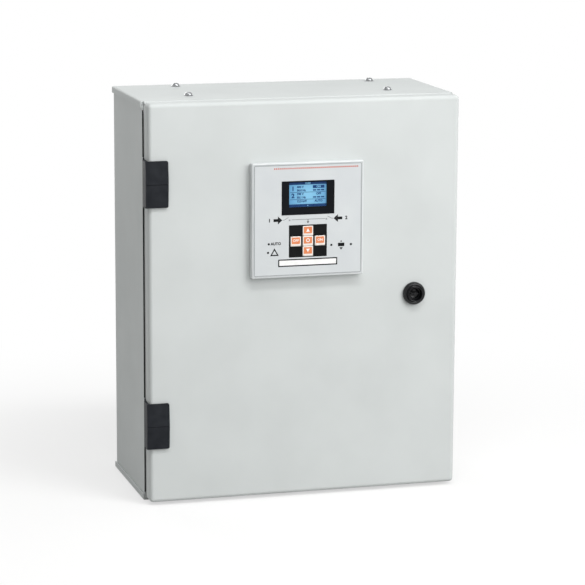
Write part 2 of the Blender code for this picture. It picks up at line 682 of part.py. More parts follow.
def door_panel():
    """A pan with hemmed returns, cut for the controller and the lock."""
    bm = bmesh.new()
    bmesh.ops.create_cube(bm, size=1, matrix=Matrix.Diagonal((DOOR_WIDTH, DOOR_DEPTH, DOOR_HEIGHT, 1)))
    rear = [face for face in bm.faces if face.normal.y > 0.5]
    bmesh.ops.inset_individual(bm, faces=rear, thickness=DOOR_HEM, use_even_offset=True)
    bmesh.ops.delete(bm, geom=rear, context="FACES")
    face_outwards(bm, Vector((0, 0, 0)))
    door = mesh_piece("door_panel", bm)
    door.location = (0, DOOR_Y + DOOR_DEPTH / 2, DOOR_MID_Z)
    round_edges(door, BEND_RADIUS, BEND_STEPS)
    thicken(door, SHEET)
    half = DOOR_CUT / 2
    cut(
        door,
        block(
            "controller_cut_out",
            (-half, DOOR_Y - SHEET, CONTROLLER_Z - half),
            (half, DOOR_INNER_Y + SHEET, CONTROLLER_Z + half),
        ),
    )
    lock_hole = drum(
        "lock_hole",
        LOCK_BARREL_RADIUS + FIT,
        (LOCK_X, DOOR_Y - SHEET, LOCK_Z),
        (LOCK_X, DOOR_INNER_Y + SHEET, LOCK_Z),
        sides=32,
    )
    cut(door, lock_hole)
    stud_x, stud_z = DOOR_EDGE_X + DOOR_STUD_INSET, DOOR_LIFT + DOOR_STUD_INSET
    stud = drum(
        "earth_stud",
        DOOR_STUD_RADIUS,
        (stud_x, DOOR_INNER_Y - SHEET / 2, stud_z),
        (stud_x, DOOR_INNER_Y + DOOR_STUD_LENGTH, stud_z),
        sides=12,
    )
    fuse(door, stud)
    return paint(door, "grey_paint")


def door_gasket():
    """Foam ring on the door, facing the lip of the rim."""
    lip_x = RIM_HALF_X - RIM_RETURN - SHEET / 2
    lip_z = RIM_HALF_Z - RIM_RETURN - SHEET / 2
    outer = rectangle(2 * lip_x + GASKET_WIDTH, 2 * lip_z + GASKET_WIDTH, GASKET_CORNERS[0])
    inner = rectangle(2 * lip_x - GASKET_WIDTH, 2 * lip_z - GASKET_WIDTH, GASKET_CORNERS[1])
    middle = (0, DOOR_INNER_Y + FIT + GASKET_THICKNESS / 2, BODY_MID_Z)
    return paint(outline_piece("door_gasket", [outer, inner], GASKET_THICKNESS, "front", middle), "foam")


def hinge(place, middle_z):
    """Door leaf wrapped round the door edge, body bracket on the rim, and the pin through both."""
    half = HINGE_HEIGHT / 2
    split = KNUCKLE_SPLIT / 2
    plate_low = DOOR_Y - HINGE_PROUD
    plate_high = DOOR_Y - FIT
    web_x = DOOR_EDGE_X - FIT
    behind = DOOR_Y + DOOR_DEPTH + FIT
    wrap = [
        (HINGE_LEFT_X, plate_low),
        (HINGE_LEFT_X + 2 * HINGE_WIDTH, plate_low),
        (HINGE_LEFT_X + 2 * HINGE_WIDTH, plate_high),
        (web_x, plate_high),
        (web_x, behind),
        (HINGE_X, behind),
        (HINGE_X, HINGE_Y),
        (HINGE_X - KNUCKLE_RADIUS + FIT, HINGE_Y),
        (web_x - HINGE_TURN_WALL, behind),
        (HINGE_LEFT_X, DOOR_Y + HINGE_WEB),
    ]
    leaf = outline_piece(f"hinge_leaf_{place}", [wrap], 2 * HINGE_HEIGHT, "top", (0, 0, middle_z))
    past_ends = [(HINGE_X, HINGE_Y, middle_z + side * 2 * HINGE_HEIGHT) for side in (-1, 1)]
    fuse(leaf, drum(f"leaf_knuckle_{place}", KNUCKLE_RADIUS, *past_ends))
    front = rectangle(2 * HINGE_WIDTH, HINGE_HEIGHT, HINGE_CORNER)
    edge = (HINGE_LEFT_X, DOOR_Y, middle_z)
    trim = outline_piece(f"leaf_outline_{place}", [front], 4 * DOOR_DEPTH, "front", edge)
    combine(leaf, trim, "INTERSECT")
    room = 2 * KNUCKLE_RADIUS
    cut(
        leaf,
        block(
            f"leaf_room_{place}",
            (HINGE_LEFT_X - room, HINGE_Y - KNUCKLE_RADIUS - LEAF_ROOM, middle_z - split),
            (HINGE_X + room, HINGE_Y + room, middle_z + split),
        ),
    )
    cut(leaf, drum(f"leaf_bore_{place}", PIN_RADIUS + FIT, *past_ends, sides=20))
    seam = block(
        f"leaf_seam_{place}",
        (HINGE_LEFT_X - SEAM, plate_low - SEAM, middle_z - SEAM / 2),
        (HINGE_LEFT_X + 2 * HINGE_WIDTH, plate_low + SEAM, middle_z + SEAM / 2),
    )
    cut(leaf, seam)
    paint(leaf, "black_plastic")
    tall = split - KNUCKLE_GAP
    bracket = drum(
        f"hinge_bracket_{place}",
        KNUCKLE_RADIUS,
        (HINGE_X, HINGE_Y, middle_z - tall),
        (HINGE_X, HINGE_Y, middle_z + tall),
    )
    foot = block(
        f"bracket_foot_{place}",
        (HINGE_X + PIN_RADIUS, HINGE_Y + BRACKET_STEP, middle_z - tall),
        (BRACKET_END_X, BODY_Y - FIT, middle_z + tall),
    )
    fuse(bracket, foot)
    cut(bracket, drum(f"bracket_bore_{place}", PIN_RADIUS + FIT, *past_ends, sides=20))
    paint(bracket, "black_plastic")
    pin = drum(
        f"hinge_pin_{place}",
        PIN_RADIUS,
        (HINGE_X, HINGE_Y, middle_z - half + KNUCKLE_GAP),
        (HINGE_X, HINGE_Y, middle_z + half - KNUCKLE_GAP),
        sides=16,
    )
    paint(pin, "steel")
    return leaf


def lock():
    """Quarter-turn lock: flanged barrel, nut, core with a double-bit insert, and a cranked cam."""
    face = (LOCK_X, DOOR_Y, LOCK_Z)
    outwards = (0, -1, 0)
    crest = LOCK_PROUD
    step = (LOCK_RADIUS - LOCK_BORE_RADIUS) / 6
    housing_profile = [
        (LOCK_BORE_RADIUS, crest - step),
        (LOCK_BORE_RADIUS + step, crest),
        (LOCK_BORE_RADIUS + 2 * step, crest - step / 2),
        (LOCK_BORE_RADIUS + 2.5 * step, crest * 0.72),
        (LOCK_BORE_RADIUS + 4.5 * step, crest * 0.58),
        (LOCK_BORE_RADIUS + 5.6 * step, crest * 0.36),
        (LOCK_RADIUS, crest * 0.15),
        (LOCK_RADIUS, FIT),
        (LOCK_BARREL_RADIUS, FIT),
        (LOCK_BARREL_RADIUS, -LOCK_BARREL_LENGTH),
        (LOCK_BORE_RADIUS, -LOCK_BARREL_LENGTH),
    ]
    housing = turned("lock_housing", housing_profile, face, outwards, ring=True)
    paint(housing, "black_plastic")
    nut_y = DOOR_INNER_Y + FIT
    nut = drum(
        "lock_nut",
        LOCK_NUT_FLAT / math.sqrt(3),
        (LOCK_X, nut_y, LOCK_Z),
        (LOCK_X, nut_y + LOCK_NUT_THICKNESS, LOCK_Z),
        sides=6,
    )
    nut_bore = drum(
        "nut_bore",
        LOCK_BARREL_RADIUS + FIT,
        (LOCK_X, nut_y - LOCK_NUT_THICKNESS, LOCK_Z),
        (LOCK_X, nut_y + 2 * LOCK_NUT_THICKNESS, LOCK_Z),
        sides=32,
    )
    cut(nut, nut_bore)
    paint(nut, "zinc")
    core_radius = LOCK_BORE_RADIUS - FIT
    core_end = -LOCK_BARREL_LENGTH - FIT
    neck_end = core_end - CAM_THICKNESS - LOCK_NECK_TAIL
    dish = core_radius - LOCK_DISH_WALL
    core_profile = [
        (0, crest * 0.7),
        (BIT_PIN_RADIUS, crest * 0.7),
        (BIT_PIN_RADIUS, 0),
        (dish - LOCK_DISH_TAPER, 0),
        (dish, crest * 0.35),
        (core_radius, crest * 0.35),
        (core_radius, core_end),
        (LOCK_NECK_RADIUS, core_end),
        (LOCK_NECK_RADIUS, neck_end),
        (0, neck_end),
    ]
    core = turned("lock_core", core_profile, face, outwards)
    wing = dish * 0.72
    bits = block(
        "double_bit",
        (LOCK_X - wing, DOOR_Y - crest * 0.6, LOCK_Z - BIT_THICKNESS / 2),
        (LOCK_X + wing, DOOR_Y + BIT_ROOT, LOCK_Z + BIT_THICKNESS / 2),
    )
    fuse(core, bits)
    paint(core, "black_plastic")
    near_y = DOOR_Y - core_end + FIT
    far_y = BODY_Y + SHEET + CAM_BEHIND_RIM
    crank = far_y - near_y
    profile = [
        (near_y, CAM_WIDTH / 2),
        (near_y, -CAM_KNEE),
        (far_y, -CAM_KNEE - crank),
        (far_y, -CAM_REACH),
    ]
    cam = folded_sheet("lock_cam", profile, CAM_WIDTH, "side", (LOCK_X, 0, LOCK_Z), CAM_THICKNESS, 0)
    cam_hole = drum(
        "cam_hole",
        LOCK_NECK_RADIUS + FIT,
        (LOCK_X, near_y - CAM_THICKNESS, LOCK_Z),
        (LOCK_X, near_y + 2 * CAM_THICKNESS, LOCK_Z),
        sides=32,
    )
    cut(cam, cam_hole)
    paint(cam, "zinc")
    return [housing, nut], [core, cam]


def key_places():
    """Middle of each key, in the plane of the door."""
    across, up = KEY_PITCH
    return {
        "key_centre": (0, KEYS_Z),
        "key_up": (0, KEYS_Z + up),
        "key_down": (0, KEYS_Z - up),
        "key_left": (-across, KEYS_Z),
        "key_right": (across, KEYS_Z),
    }


def key_wells(gap):
    """Openings round the keys: one tall well for the column and one for each side key."""
    width, height = KEY_SIZE[0] + 2 * gap, KEY_SIZE[1] + 2 * gap
    column = (0, KEYS_Z, width, height + 2 * KEY_PITCH[1])
    sides = [(side * KEY_PITCH[0], KEYS_Z, width, height) for side in (-1, 1)]
    return [column] + sides


def controller():
    """Panel controller: bezel, front sheet, window, screen, keys, housing, clamps and connectors."""
    made = [controller_bezel(), controller_overlay()]
    made += display()
    made += controller_rear()
    keys = {}
    for name, (x, z) in key_places().items():
        outline = rectangle(*KEY_SIZE, KEY_CORNER, 2)
        middle = (x, OVERLAY_Y - KEY_PROUD + KEY_THICKNESS / 2, z)
        key = outline_piece(name, [outline], KEY_THICKNESS, "front", middle)
        round_edges(key, KEY_ROUND, 1)
        keys[name] = paint(key, "orange_rubber")
    return made, keys


def controller_bezel():
    half = BEZEL_SIZE / 2
    bezel = block(
        "controller_bezel",
        (-half, BEZEL_Y, CONTROLLER_Z - half),
        (half, DOOR_Y - FIT, CONTROLLER_Z + half),
    )
    round_edges(bezel, BEZEL_ROUND, 2)
    edge = half - BEZEL_EDGE
    front = BEZEL_Y - SHEET
    recess = block(
        "overlay_recess",
        (-edge, front, CONTROLLER_Z - edge),
        (edge, RECESS_Y, CONTROLLER_Z + edge),
    )
    cut(bezel, recess)
    width, height = WINDOW_SIZE
    pocket_y = OVERLAY_Y + WINDOW_THICKNESS + FIT + SCREEN_THICKNESS + FIT
    pocket = block(
        "window_pocket",
        (-width / 2 - FIT, front, WINDOW_Z - height / 2 - FIT),
        (width / 2 + FIT, pocket_y, WINDOW_Z + height / 2 + FIT),
    )
    cut(bezel, pocket)
    well_y = OVERLAY_Y - KEY_PROUD + KEY_THICKNESS + KEY_TRAVEL + FIT
    wells = []
    for x, z, across, up in key_wells(FIT):
        wells.append(((x - across / 2, front, z - up / 2), (x + across / 2, well_y, z + up / 2)))
    cut(bezel, blocks("key_wells", wells))
    return paint(bezel, "pale_plastic")


def controller_overlay():
    size = BEZEL_SIZE - 2 * BEZEL_EDGE - 2 * FIT
    outlines = [rectangle(size, size)]
    width, height = WINDOW_SIZE
    outlines.append(rectangle(width + 2 * FIT, height + 2 * FIT, middle=(0, WINDOW_UP)))
    for x, z, across, up in key_wells(FIT):
        outlines.append(rectangle(across, up, middle=(x, z - CONTROLLER_Z)))
    middle = (0, OVERLAY_Y + OVERLAY_SHEET / 2, CONTROLLER_Z)
    overlay = outline_piece("controller_overlay", outlines, OVERLAY_SHEET, "front", middle)
    return paint(overlay, "printed_sheet")


def display():
    screen_width, screen_height = SCREEN_SIZE
    view = rectangle(screen_width, screen_height, VIEW_CORNER, 2, (0, SCREEN_UP))
    window_y = OVERLAY_Y + WINDOW_THICKNESS / 2
    window = outline_piece(
        "display_window", [rectangle(*WINDOW_SIZE), view], WINDOW_THICKNESS, "front", (0, window_y, WINDOW_Z)
    )
    paint(window, "window")
    screen_y = OVERLAY_Y + WINDOW_THICKNESS + FIT + SCREEN_THICKNESS / 2
    module = rectangle(screen_width + 2 * SCREEN_LAP, screen_height + 2 * SCREEN_LAP, SCREEN_CORNER, 2)
    screen = outline_piece(
        "display_screen", [module], SCREEN_THICKNESS, "front", (0, screen_y, WINDOW_Z + SCREEN_UP)
    )
    paint(screen, "screen")
    return [window, screen]


def controller_rear():
    half = DOOR_CUT / 2 - HOUSING_WALL_GAP
    rear_y = DOOR_INNER_Y + HOUSING_DEPTH
    housing = block(
        "controller_housing", (-half, DOOR_Y, CONTROLLER_Z - half), (half, rear_y, CONTROLLER_Z + half)
    )
    round_edges(housing, HOUSING_ROUND, 1)
    plug_width, plug_depth, plug_height = PLUG_SIZE
    plug_z = CONTROLLER_Z - PLUG_DOWN
    plug_y = rear_y - plug_depth / 2
    bay = block(
        "plug_bay",
        (-plug_width / 2 - FIT, plug_y, plug_z - plug_height / 2 - FIT),
        (plug_width / 2 + FIT, rear_y + plug_depth, plug_z + plug_height / 2 + FIT),
    )
    cut(housing, bay)
    vents = []
    vent_z = CONTROLLER_Z + half
    for x in evenly(VENT_COUNT, VENT_PITCH):
        low = (x - VENT_WIDTH / 2, DOOR_INNER_Y + VENT_MARGINS[0], vent_z - VENT_DEPTH)
        high = (x + VENT_WIDTH / 2, rear_y - VENT_MARGINS[1], vent_z + VENT_DEPTH)
        vents.append((low, high))
    cut(housing, blocks("vents", vents))
    paint(housing, "black_plastic")
    made = [housing, connector(plug_z, plug_y + FIT)]
    for side, word in ((-1, "left"), (1, "right")):
        made.append(clamp(word, side, half))
    return made


def connector(middle_z, front_y):
    """Plug-in terminal strip with a wire hole for each pole."""
    width, depth, height = PLUG_SIZE
    plug = block(
        "controller_plug",
        (-width / 2, front_y, middle_z - height / 2),
        (width / 2, front_y + depth, middle_z + height / 2),
    )
    half, rear_y = PLUG_HOLE / 2, front_y + depth
    holes = []
    for x in evenly(PLUG_POLES, width / PLUG_POLES):
        low = (x - half, rear_y - PLUG_HOLE_DEPTH, middle_z - half)
        high = (x + half, rear_y + PLUG_HOLE_DEPTH, middle_z + half)
        holes.append((low, high))
    cut(plug, blocks("plug_holes", holes))
    return paint(plug, "green_plastic")


def clamp(word, side, housing_half):
    """Hooked block on the flank of the housing that pulls the bezel against the door."""
    inner = housing_half + FIT
    outer = inner + CLAMP_WIDTH
    low_y = DOOR_INNER_Y + FIT
    flank = inner + CLAMP_FLANK
    profile = [
        (side * inner, low_y),
        (side * outer, low_y),
        (side * outer, low_y + CLAMP_TOE),
        (side * flank, low_y + CLAMP_TOE + CLAMP_RAMP),
        (side * flank, low_y + CLAMP_LENGTH),
        (side * inner, low_y + CLAMP_LENGTH),
    ]
    piece = outline_piece(f"controller_clamp_{word}", [profile], CLAMP_HEIGHT, "top", (0, 0, CONTROLLER_Z))
    return paint(piece, "black_plastic")


def mounting_plate():
    width, height = PLATE_SIZE
    x, z, corner = width / 2, height / 2, PLATE_CORNER
    outline = []
    for across, up in ((1, 1), (-1, 1), (-1, -1), (1, -1)):
        points = [(across * x, up * (z - corner)), (across * (x - corner), up * z)]
        outline += points if across == up else points[::-1]
    holes = []
    for stud_x, stud_z in corner_points(*STUD_SPAN):
        hole = 2 * (STUD_RADIUS + FIT)
        holes.append(rectangle(hole, hole, hole / 2, 5, (stud_x, stud_z - BODY_MID_Z)))
    middle = (0, PLATE_Y + PLATE_THICKNESS / 2, BODY_MID_Z)
    paint(outline_piece("mounting_plate", [outline] + holes, PLATE_THICKNESS, "front", middle), "zinc")


def top_hat_rail(name, middle_x, length, middle_z):
    crown, lip = RAIL_CROWN / 2, RAIL_HEIGHT / 2
    profile = [
        (RAIL_Y, lip),
        (RAIL_Y, crown),
        (SEAT_Y - RAIL_SHEET, crown),
        (SEAT_Y - RAIL_SHEET, -crown),
        (RAIL_Y, -crown),
        (RAIL_Y, -lip),
    ]
    rail = folded_sheet(name, profile, length, "side", (middle_x, 0, middle_z), RAIL_SHEET, RAIL_BEND)
    slots = []
    for offset in evenly(int(length / RAIL_SLOT_PITCH), RAIL_SLOT_PITCH):
        slots.append(rectangle(*RAIL_SLOT, RAIL_SLOT_CORNER, steps=2, middle=(offset, 0)))
    middle = (middle_x, SEAT_Y - RAIL_SHEET / 2, middle_z)
    cut(rail, outline_piece(f"{name}_slots", slots, 3 * RAIL_SHEET, "front", middle))
    paint(rail, "zinc")


def rail_back():
    """Back of a device that straddles a rail, as (depth in front of the rail, height) points."""
    notch = RAIL_HEIGHT / 2 + FIT
    return [(0, notch), (-RAIL_BITE, notch)]


def breaker(index):
    """Modular breaker with a nose, a toggle slot, and wire pockets at both ends."""
    x = (index - 1.5) * BREAKER_SPAN
    z = UPPER_RAIL_Z
    top, nose = BREAKER_HEIGHT / 2, BREAKER_NOSE_HEIGHT / 2
    front = BREAKER_DEPTH + BREAKER_NOSE_DEPTH
    shoulder, tip = BREAKER_CHAMFERS
    half = rail_back() + [
        (-RAIL_BITE, top),
        (BREAKER_DEPTH - shoulder, top),
        (BREAKER_DEPTH, top - shoulder),
        (BREAKER_DEPTH, nose),
        (front - tip, nose),
        (front, nose - tip),
    ]
    body = outline_piece(f"breaker_{index}", [mirrored(half)], BREAKER_WIDTH, "side", (x, DEVICE_Y, z))
    pivot_y = DEVICE_Y - front + TOGGLE_SUNK
    room = TOGGLE_RADIUS + SLIDE_GAP
    slot_x = TOGGLE_WIDTH / 2 + SLIDE_GAP
    slot = block(
        f"toggle_slot_{index}",
        (x - slot_x, DEVICE_Y - 2 * front, z - room),
        (x + slot_x, pivot_y + room, z + room),
    )
    cut(body, slot)
    pitch = BREAKER_WIDTH / BREAKER_POLES
    wide, deep, tall = BREAKER_POCKET
    rear_y = DEVICE_Y - BREAKER_POCKET_BEHIND
    pockets = []
    for offset in evenly(BREAKER_POLES, pitch):
        for level in (z - top, z + top):
            low = (x + offset - wide / 2, rear_y - deep, level - tall)
            high = (x + offset + wide / 2, rear_y, level + tall)
            pockets.append((low, high))
    cut(body, blocks(f"breaker_pockets_{index}", pockets))
    seam_y = DEVICE_Y - BREAKER_DEPTH + BREAKER_SEAM_DEPTH
    seams = []
    for offset in evenly(BREAKER_POLES - 1, pitch):
        left, right = x + offset - BREAKER_SEAM / 2, x + offset + BREAKER_SEAM / 2
        for lower, upper in ((z - 2 * top, z - nose - FIT), (z + nose + FIT, z + 2 * top)):
            seams.append(((left, DEVICE_Y - 2 * front, lower), (right, seam_y, upper)))
    cut(body, blocks(f"breaker_seams_{index}", seams))
    paint(body, "white_plastic")
    toggle = toggle_bar(index, (x, pivot_y, z))
    pivot = axis_empty(f"breaker_{index}_pivot", (x, pivot_y, z))
    carry(pivot, [toggle])


def toggle_bar(index, pivot):
    """Drum with a lever, up at rest; the lever starts tangent to the drum and ends in a round tip."""
    tip_middle = TOGGLE_RADIUS + TOGGLE_LEVER - TOGGLE_TIP
    drum_steps, tip_steps = 20, 4
    points = []
    for step in range(drum_steps + 1):
        angle = TOGGLE_ROOT + (2 * math.pi - 2 * TOGGLE_ROOT) * step / drum_steps
        points.append(Vector((math.cos(angle), math.sin(angle))) * TOGGLE_RADIUS)
    for step in range(tip_steps + 1):
        angle = -math.pi / 2 + math.pi * step / tip_steps
        points.append(Vector((tip_middle, 0)) + Vector((math.cos(angle), math.sin(angle))) * TOGGLE_TIP)
    turn = Matrix.Rotation(math.pi - TOGGLE_TILT, 2)
    outline = [turn @ point for point in points]
    piece = outline_piece(f"breaker_{index}_toggle", [outline], TOGGLE_WIDTH, "side", pivot)
    return paint(piece, "black_plastic")


def contactor(index):
    """Four-pole contactor: stepped base, arc cover and the contact carrier that slides in the cover."""
    x = (index - 1.5) * CONTACTOR_SPAN
    z = CONTACTOR_Z
    seat = (x, SEAT_Y, z)
    foot, top, cover_top = CONTACTOR_FOOT / 2, CONTACTOR_HEIGHT / 2, CONTACTOR_COVER_HEIGHT / 2
    half = [
        (0, foot),
        (CONTACTOR_FOOT_DEPTH, foot),
        (CONTACTOR_FOOT_DEPTH, top),
        (CONTACTOR_SHOULDER, top),
        (CONTACTOR_SHOULDER, cover_top),
        (CONTACTOR_BASE_DEPTH, cover_top),
    ]
    base = outline_piece(f"contactor_{index}_base", [mirrored(half)], CONTACTOR_WIDTH, "side", seat)
    cut(base, blocks(f"contactor_pockets_{index}", pole_pockets(x)))
    paint(base, "grey_plastic")
    half = [
        (CONTACTOR_BASE_DEPTH + FIT, cover_top),
        (CONTACTOR_DEPTH - 3 * COVER_STEP, cover_top),
        (CONTACTOR_DEPTH - 2 * COVER_STEP, cover_top - COVER_STEP),
        (CONTACTOR_DEPTH - COVER_STEP / 2, cover_top - 2 * COVER_STEP),
        (CONTACTOR_DEPTH, cover_top - 2.5 * COVER_STEP),
    ]
    cover = outline_piece(f"contactor_{index}_cover", [mirrored(half)], CONTACTOR_WIDTH, "side", seat)
    width, depth, height = CARRIER_SIZE
    well = block(
        f"carrier_well_{index}",
        (x - width / 2 - SLIDE_GAP, CONTACTOR_Y - depth, z - height / 2 - SLIDE_GAP),
        (
            x + width / 2 + SLIDE_GAP,
            CONTACTOR_Y - CARRIER_PROUD + depth + CARRIER_TRAVEL + SLIDE_GAP,
            z + height / 2 + SLIDE_GAP,
        ),
    )
    cut(cover, well)
    slot_width, slot_depth, slot_height = SCREW_SLOT
    slots = []
    for offset in evenly(POLES, POLE_PITCH):
        for level in (z - cover_top, z + cover_top):
            low = (x + offset - slot_width / 2, CONTACTOR_Y - slot_depth, level - slot_height)
            high = (x + offset + slot_width / 2, CONTACTOR_Y + slot_depth, level + slot_height)
            slots.append((low, high))
    cut(cover, blocks(f"screw_slots_{index}", slots))
    paint(cover, "grey_plastic")
    front = CONTACTOR_Y - CARRIER_PROUD
    carrier = block(
        f"contactor_{index}_carrier",
        (x - width / 2, front, z - height / 2),
        (x + width / 2, front + depth, z + height / 2),
    )
    round_edges(carrier, CARRIER_ROUND, 1)
    groove_height, groove_depth = CARRIER_GROOVE
    groove = block(
        f"carrier_groove_{index}",
        (x - width, front - groove_depth, z - groove_height / 2),
        (x + width, front + groove_depth, z + groove_height / 2),
    )
    cut(carrier, groove)
    paint(carrier, "white_plastic")


def pole_pockets(x):
    """Wire pockets at both ends of a contactor base."""
    width, depth, height = POCKET_SIZE
    top = CONTACTOR_HEIGHT / 2
    pockets = []
    for offset in evenly(POLES, POLE_PITCH):
        for level in (CONTACTOR_Z - top, CONTACTOR_Z + top):
            low = (x + offset - width / 2, POCKET_Y - depth, level - height)
            high = (x + offset + width / 2, POCKET_Y, level + height)
            pockets.append((low, high))
    return pockets


def interlock():
    """Mechanical interlock, held between the two contactors."""
    top, nose = INTERLOCK_HEIGHT / 2, INTERLOCK_NOSE / 2
    start, end = INTERLOCK_SHOULDERS
    half = [(0, top), (start, top), (end, nose), (INTERLOCK_DEPTH, nose)]
    middle = (0, SEAT_Y, CONTACTOR_Z)
    unit = outline_piece("interlock_unit", [mirrored(half)], INTERLOCK_WIDTH, "side", middle)
    paint(unit, "black_plastic")


def load_bars():
    """Copper bars that join the load side of each pole, one behind the other."""
    pocket_mouth = CONTACTOR_Z - CONTACTOR_HEIGHT / 2
    high = pocket_mouth + POCKET_SIZE[2] - FIT
    low = pocket_mouth - BAR_DROP
    pitch = POCKET_SIZE[1] / POLES
    half_span = CONTACTOR_SPAN / 2
    for index, offset in enumerate(evenly(POLES, POLE_PITCH)):
        outer, inner = half_span + BAR_WIDTH / 2, half_span - BAR_WIDTH / 2
        outline = [
            (-outer, high),
            (-outer, low),
            (outer, low),
            (outer, high),
            (inner, high),
            (inner, low + BAR_WIDTH),
            (-inner, low + BAR_WIDTH),
            (-inner, high),
        ]
        y = POCKET_Y - (index + 0.5) * pitch
        bar = outline_piece(f"load_bar_{index + 1}", [outline], BAR_THICKNESS, "front", (offset, y, 0))
        paint(bar, "copper")


def wire_duct(name, middle_z):
    """Slotted wiring duct, open to the front."""
    half = DUCT_HEIGHT / 2
    back, front = SEAT_Y, SEAT_Y - DUCT_DEPTH
    profile = [(front, -half), (back, -half), (back, half), (front, half)]
    duct = folded_sheet(name, profile, DUCT_LENGTH, "side", (0, 0, middle_z), DUCT_WALL, 0)
    slots = []
    for x in evenly(DUCT_SLOTS, DUCT_LENGTH / DUCT_SLOTS):
        low = (x - DUCT_SLOT_WIDTH / 2, front - DUCT_WALL, middle_z - DUCT_HEIGHT)
        high = (x + DUCT_SLOT_WIDTH / 2, back - DUCT_SLOT_FLOOR, middle_z + DUCT_HEIGHT)
        slots.append((low, high))
    cut(duct, blocks(f"{name}_slots", slots))
    paint(duct, "grey_plastic")


def terminals():
    """Rows of terminal blocks along the lower rail, in groups."""
    x = LOWER_RAIL_LEFT + TERMINAL_GAP
    z = LOWER_RAIL_Z
    top = TERMINAL_HEIGHT / 2
    crest_start, crest_height = TERMINAL_CREST
    hole_width, hole_length = TERMINAL_HOLE
    hole_rear, hole_front = TERMINAL_HOLE_SPAN
    for name, (count, pitch) in TERMINAL_GROUPS.items():
        width = count * pitch
        half = rail_back() + [
            (-RAIL_BITE, top),
            (TERMINAL_SHOULDER, top),
            (crest_start, crest_height / 2),
            (TERMINAL_DEPTH, crest_height / 2),
        ]
        group = outline_piece(name, [mirrored(half)], width, "side", (x + width / 2, DEVICE_Y, z))
        hole = min(hole_width, pitch - 2 * TERMINAL_HOLE_WALL) / 2
        pockets = []
        for offset in evenly(count, pitch):
            middle = x + width / 2 + offset
            for level in (z - top, z + top):
                low = (middle - hole, DEVICE_Y - hole_front, level - hole_length)
                high = (middle + hole, DEVICE_Y - hole_rear, level + hole_length)
                pockets.append((low, high))
        cut(group, blocks(f"{name}_pockets", pockets))
        paint(group, "pale_plastic")
        x += width + TERMINAL_GAP


def earth_bar():
    """Drilled brass bar on two feet, beside the terminals."""
    width, depth, height = EARTH_BAR_SIZE
    right = PLATE_SIZE[0] / 2 - EARTH_BAR_INSET
    x = right - width / 2
    foot_y = SEAT_Y - EARTH_BAR_FOOT
    z = LOWER_RAIL_Z
    low = (x - width / 2, foot_y - depth, z - height / 2)
    bar = block("earth_bar", low, (right, foot_y, z + height / 2))
    round_edges(bar, EARTH_BAR_ROUND, 1)
    foot = height / 2
    feet = []
    for side in (-1, 1):
        edge = x + side * (width / 2 - foot)
        low = (edge - foot / 2, foot_y - depth / 2, z - foot / 2)
        high = (edge + foot / 2, SEAT_Y, z + foot / 2)
        feet.append((low, high))
    fuse(bar, blocks("earth_bar_feet", feet))
    ends = []
    hole_y = foot_y - depth / 2
    for offset in evenly(EARTH_BAR_HOLES, width / (EARTH_BAR_HOLES + 1)):
        ends.append(((x + offset, hole_y, z - height), (x + offset, hole_y, z + height)))
    cut(bar, drums("earth_bar_holes", EARTH_BAR_HOLE_RADIUS, ends, sides=12))
    paint(bar, "brass")


def build():
    body_wrap()
    roof_and_screws()
    floor_and_gland()
    rim_frame()
    mounting_plate()
    top_hat_rail("din_rail_upper", 0, UPPER_RAIL_LENGTH, UPPER_RAIL_Z)
    lower_middle = LOWER_RAIL_LEFT + LOWER_RAIL_LENGTH / 2
    top_hat_rail("din_rail_lower", lower_middle, LOWER_RAIL_LENGTH, LOWER_RAIL_Z)
    for index in (1, 2):
        breaker(index)
        contactor(index)
    interlock()
    load_bars()
    wire_duct("wire_duct_upper", UPPER_DUCT_Z)
    wire_duct("wire_duct_lower", LOWER_DUCT_Z)
    terminals()
    earth_bar()
    swinging = [door_panel(), door_gasket()]
    swinging.append(hinge("upper", DOOR_MID_Z + HINGE_SPAN / 2))
    swinging.append(hinge("lower", DOOR_MID_Z - HINGE_SPAN / 2))
    lock_fixed, lock_turning = lock()
    controller_fixed, keys = controller()
    swinging += lock_fixed + controller_fixed
    door_axis = axis_empty("door_axis", (HINGE_X, HINGE_Y, DOOR_MID_Z))
    lock_axis = axis_empty("lock_axis", (LOCK_X, DOOR_Y, LOCK_Z))
    carry(lock_axis, lock_turning)
    carry(door_axis, swinging + [lock_axis] + list(keys.values()))


build()
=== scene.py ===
import json
import math

import bmesh
import bpy
from mathutils import Matrix, Vector


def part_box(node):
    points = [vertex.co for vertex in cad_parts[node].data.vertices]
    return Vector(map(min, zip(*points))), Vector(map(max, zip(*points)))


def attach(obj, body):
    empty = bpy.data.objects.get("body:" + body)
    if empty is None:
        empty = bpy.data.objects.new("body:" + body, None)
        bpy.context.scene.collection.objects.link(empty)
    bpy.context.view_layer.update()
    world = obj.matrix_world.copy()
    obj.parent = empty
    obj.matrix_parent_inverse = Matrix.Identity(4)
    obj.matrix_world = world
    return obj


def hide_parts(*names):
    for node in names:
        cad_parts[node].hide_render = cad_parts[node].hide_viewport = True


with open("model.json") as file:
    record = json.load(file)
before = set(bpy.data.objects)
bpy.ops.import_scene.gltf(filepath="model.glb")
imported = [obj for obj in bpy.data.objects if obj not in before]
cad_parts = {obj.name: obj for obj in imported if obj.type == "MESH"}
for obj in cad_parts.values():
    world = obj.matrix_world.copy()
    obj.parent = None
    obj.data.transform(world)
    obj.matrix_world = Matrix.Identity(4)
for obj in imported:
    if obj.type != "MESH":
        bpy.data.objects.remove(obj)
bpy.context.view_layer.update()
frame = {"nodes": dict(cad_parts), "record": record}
mm = 0.001
scene = bpy.context.scene
nodes = frame["nodes"]
slotOf = {row["node"]: row["material_slot"] for row in frame["record"]["subparts"]}
bodyOf = {node: body for body, members in frame["record"]["behaviour"]["bodies"].items() for node in members}


